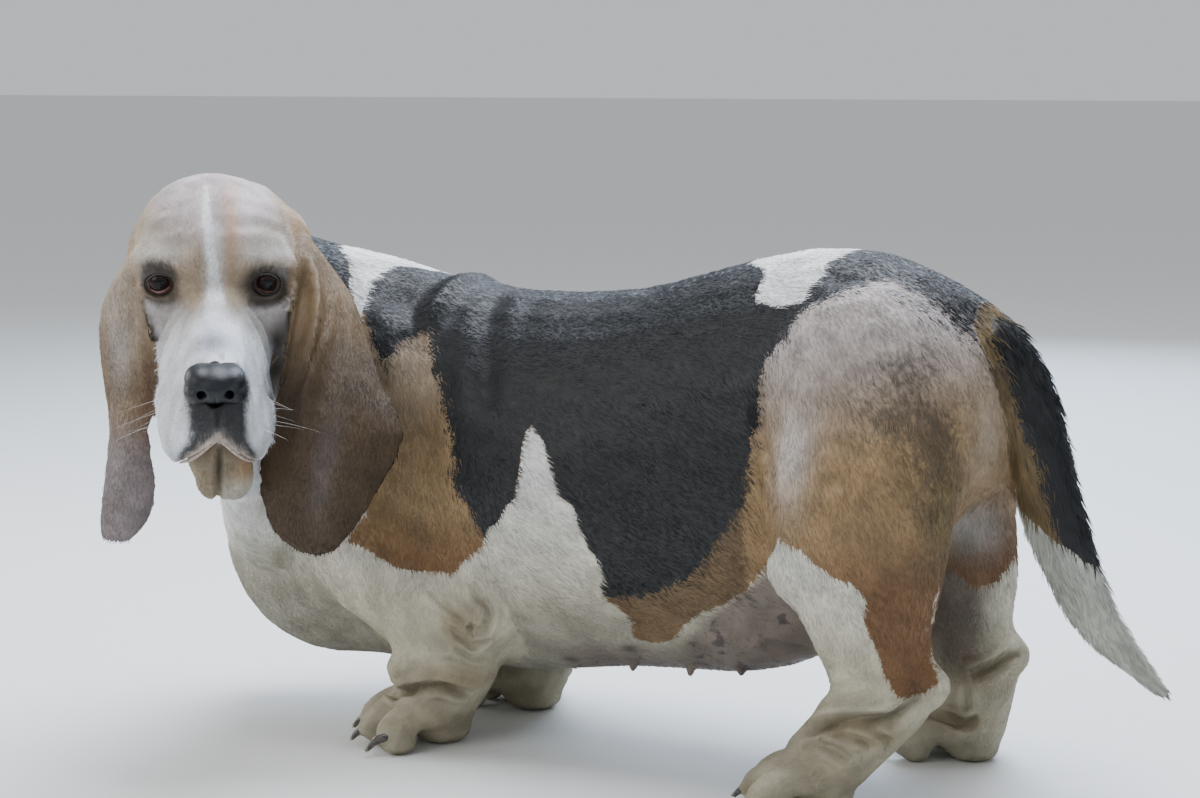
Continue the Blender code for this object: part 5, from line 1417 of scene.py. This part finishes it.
# Each toe: aside, ahead and turned out by so many degrees. Then a claw: forward, up and half its thickness.
TOES = [(-0.030, -0.006, -22), (-0.011, 0.004, -7), (0.011, 0.004, 7), (0.030, -0.006, 22)]
CLAW = [
    (0.034, 0.0160, 0.0036), (0.042, 0.0156, 0.0035), (0.0480, 0.0132, 0.0031), (0.0515, 0.0092, 0.0022),
    (0.0522, 0.0068, 0.0010),
]
CLAW_FLOOR = 0.0022  # a claw's curve comes no lower
horn, shader, wire = new_finish("claw_horn_dark", Coat_Weight=0.3, Coat_Roughness=0.2)
streak = wire.noise(wire.node("TexCoord", output=3), 420.0, 4.0)
feed(shader, "Base Color", wire.mix(streak.between(0.35, 0.7), (0.018, 0.016, 0.015), (0.10, 0.085, 0.07)))
feed(shader, "Roughness", streak.between(0.3, 0.7, 0.30, 0.46))
for foot, (stand, heading, scale) in FEET.items():
    paw = Matrix.Translation(ORIGIN + Vector((*stand, 0)))
    paw = paw @ Matrix.Rotation(math.radians(180 + heading), 4, "Z")
    claws = []
    for number, (aside_by, ahead, spread_by) in enumerate(TOES):
        toe = paw @ Matrix.Scale(scale, 4) @ Matrix.Translation((ahead, aside_by, 0))
        toe = toe @ Matrix.Rotation(math.radians(spread_by), 4, "Z")
        path = [toe @ Vector((x, 0, z)) for x, z, _ in CLAW]
        path = [Vector((v.x, v.y, max(v.z, CLAW_FLOOR))) for v in path]
        claws.append(swept(f"claw_{foot}_{number + 1}", path, [r * scale for *_, r in CLAW]))
    bpy.ops.object.select_all(action="DESELECT")
    for claw in claws:
        claw.select_set(True)
    bpy.context.view_layer.objects.active = claws[0]
    bpy.ops.object.join()
    claws = bpy.context.object
    claws.name = claws.data.name = "claws_" + foot
    claws.data.materials.append(horn)
    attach(claws, "root")

# ------------------------------------------------------------------------------------- floor, light, camera
# A pale studio floor under four broad soft lamps: cool ones above and behind, weaker and warmer ones in
# front and beside the head. The camera stands off the left hip, a little higher than the hound.

bpy.ops.mesh.primitive_plane_add(size=90, location=(0, 0, 0))
floor = bpy.context.object
floor.name = "studio_floor"
material, shader, wire = new_finish("studio_floor_pale", Base_Color=(0.72, 0.72, 0.70))
grain = wire.noise(wire.node("TexCoord", output=3), 40.0, 3.0)
feed(shader, "Roughness", grain.between(0.3, 0.7, 0.72, 0.85))
floor.data.materials.append(material)


def soft_light(name, size, power, place, aim, colour):
    """A round lamp of that width and power, turned towards its aim."""
    light = bpy.data.lights.new(name, "AREA")
    light.shape = "DISK"
    light.size = size
    light.energy = power
    light.color = colour
    lamp = bpy.data.objects.new(name, light)
    lamp.location = place
    lamp.rotation_euler = (Vector(aim) - Vector(place)).to_track_quat("-Z", "Y").to_euler()
    bpy.context.collection.objects.link(lamp)


soft_light("light_above", 1.8, 88, (0.05, 0.5, 2.0), (0, 0, 0.25), (0.84, 0.90, 1.0))
soft_light("light_behind", 2.2, 70, (-0.5, 2.3, 1.5), (0, 0, 0.3), (0.60, 0.76, 1.0))
soft_light("light_front", 1.6, 19, (-0.9, -2.0, 1.3), (-0.05, 0, 0.2), (1.0, 0.97, 0.93))
soft_light("light_side", 1.2, 15, (-1.9, -0.2, 0.9), (-0.2, -0.1, 0.25), (1.0, 0.99, 0.97))
world = bpy.data.worlds.new("studio")
bpy.context.scene.world = world
world.use_nodes = True
world.node_tree.nodes["Background"].inputs["Color"].default_value = (0.86, 0.90, 0.95, 1)
world.node_tree.nodes["Background"].inputs["Strength"].default_value = 0.72

lens = bpy.data.cameras.new("camera")
lens.lens, lens.sensor_width = 70.15, 36
camera = bpy.data.objects.new("camera", lens)
camera.location = Vector((0.745, -1.6088, 0.52)) + ORIGIN
across = Vector((0.891007, 0.453990, 0))
upright = Vector((-0.062418, 0.122502, 0.990504))
look = Vector((-0.449679, 0.882545, -0.137487))
camera.rotation_euler = Matrix((across, upright, -look)).transposed().to_euler()
bpy.context.collection.objects.link(camera)
bpy.context.scene.camera = camera
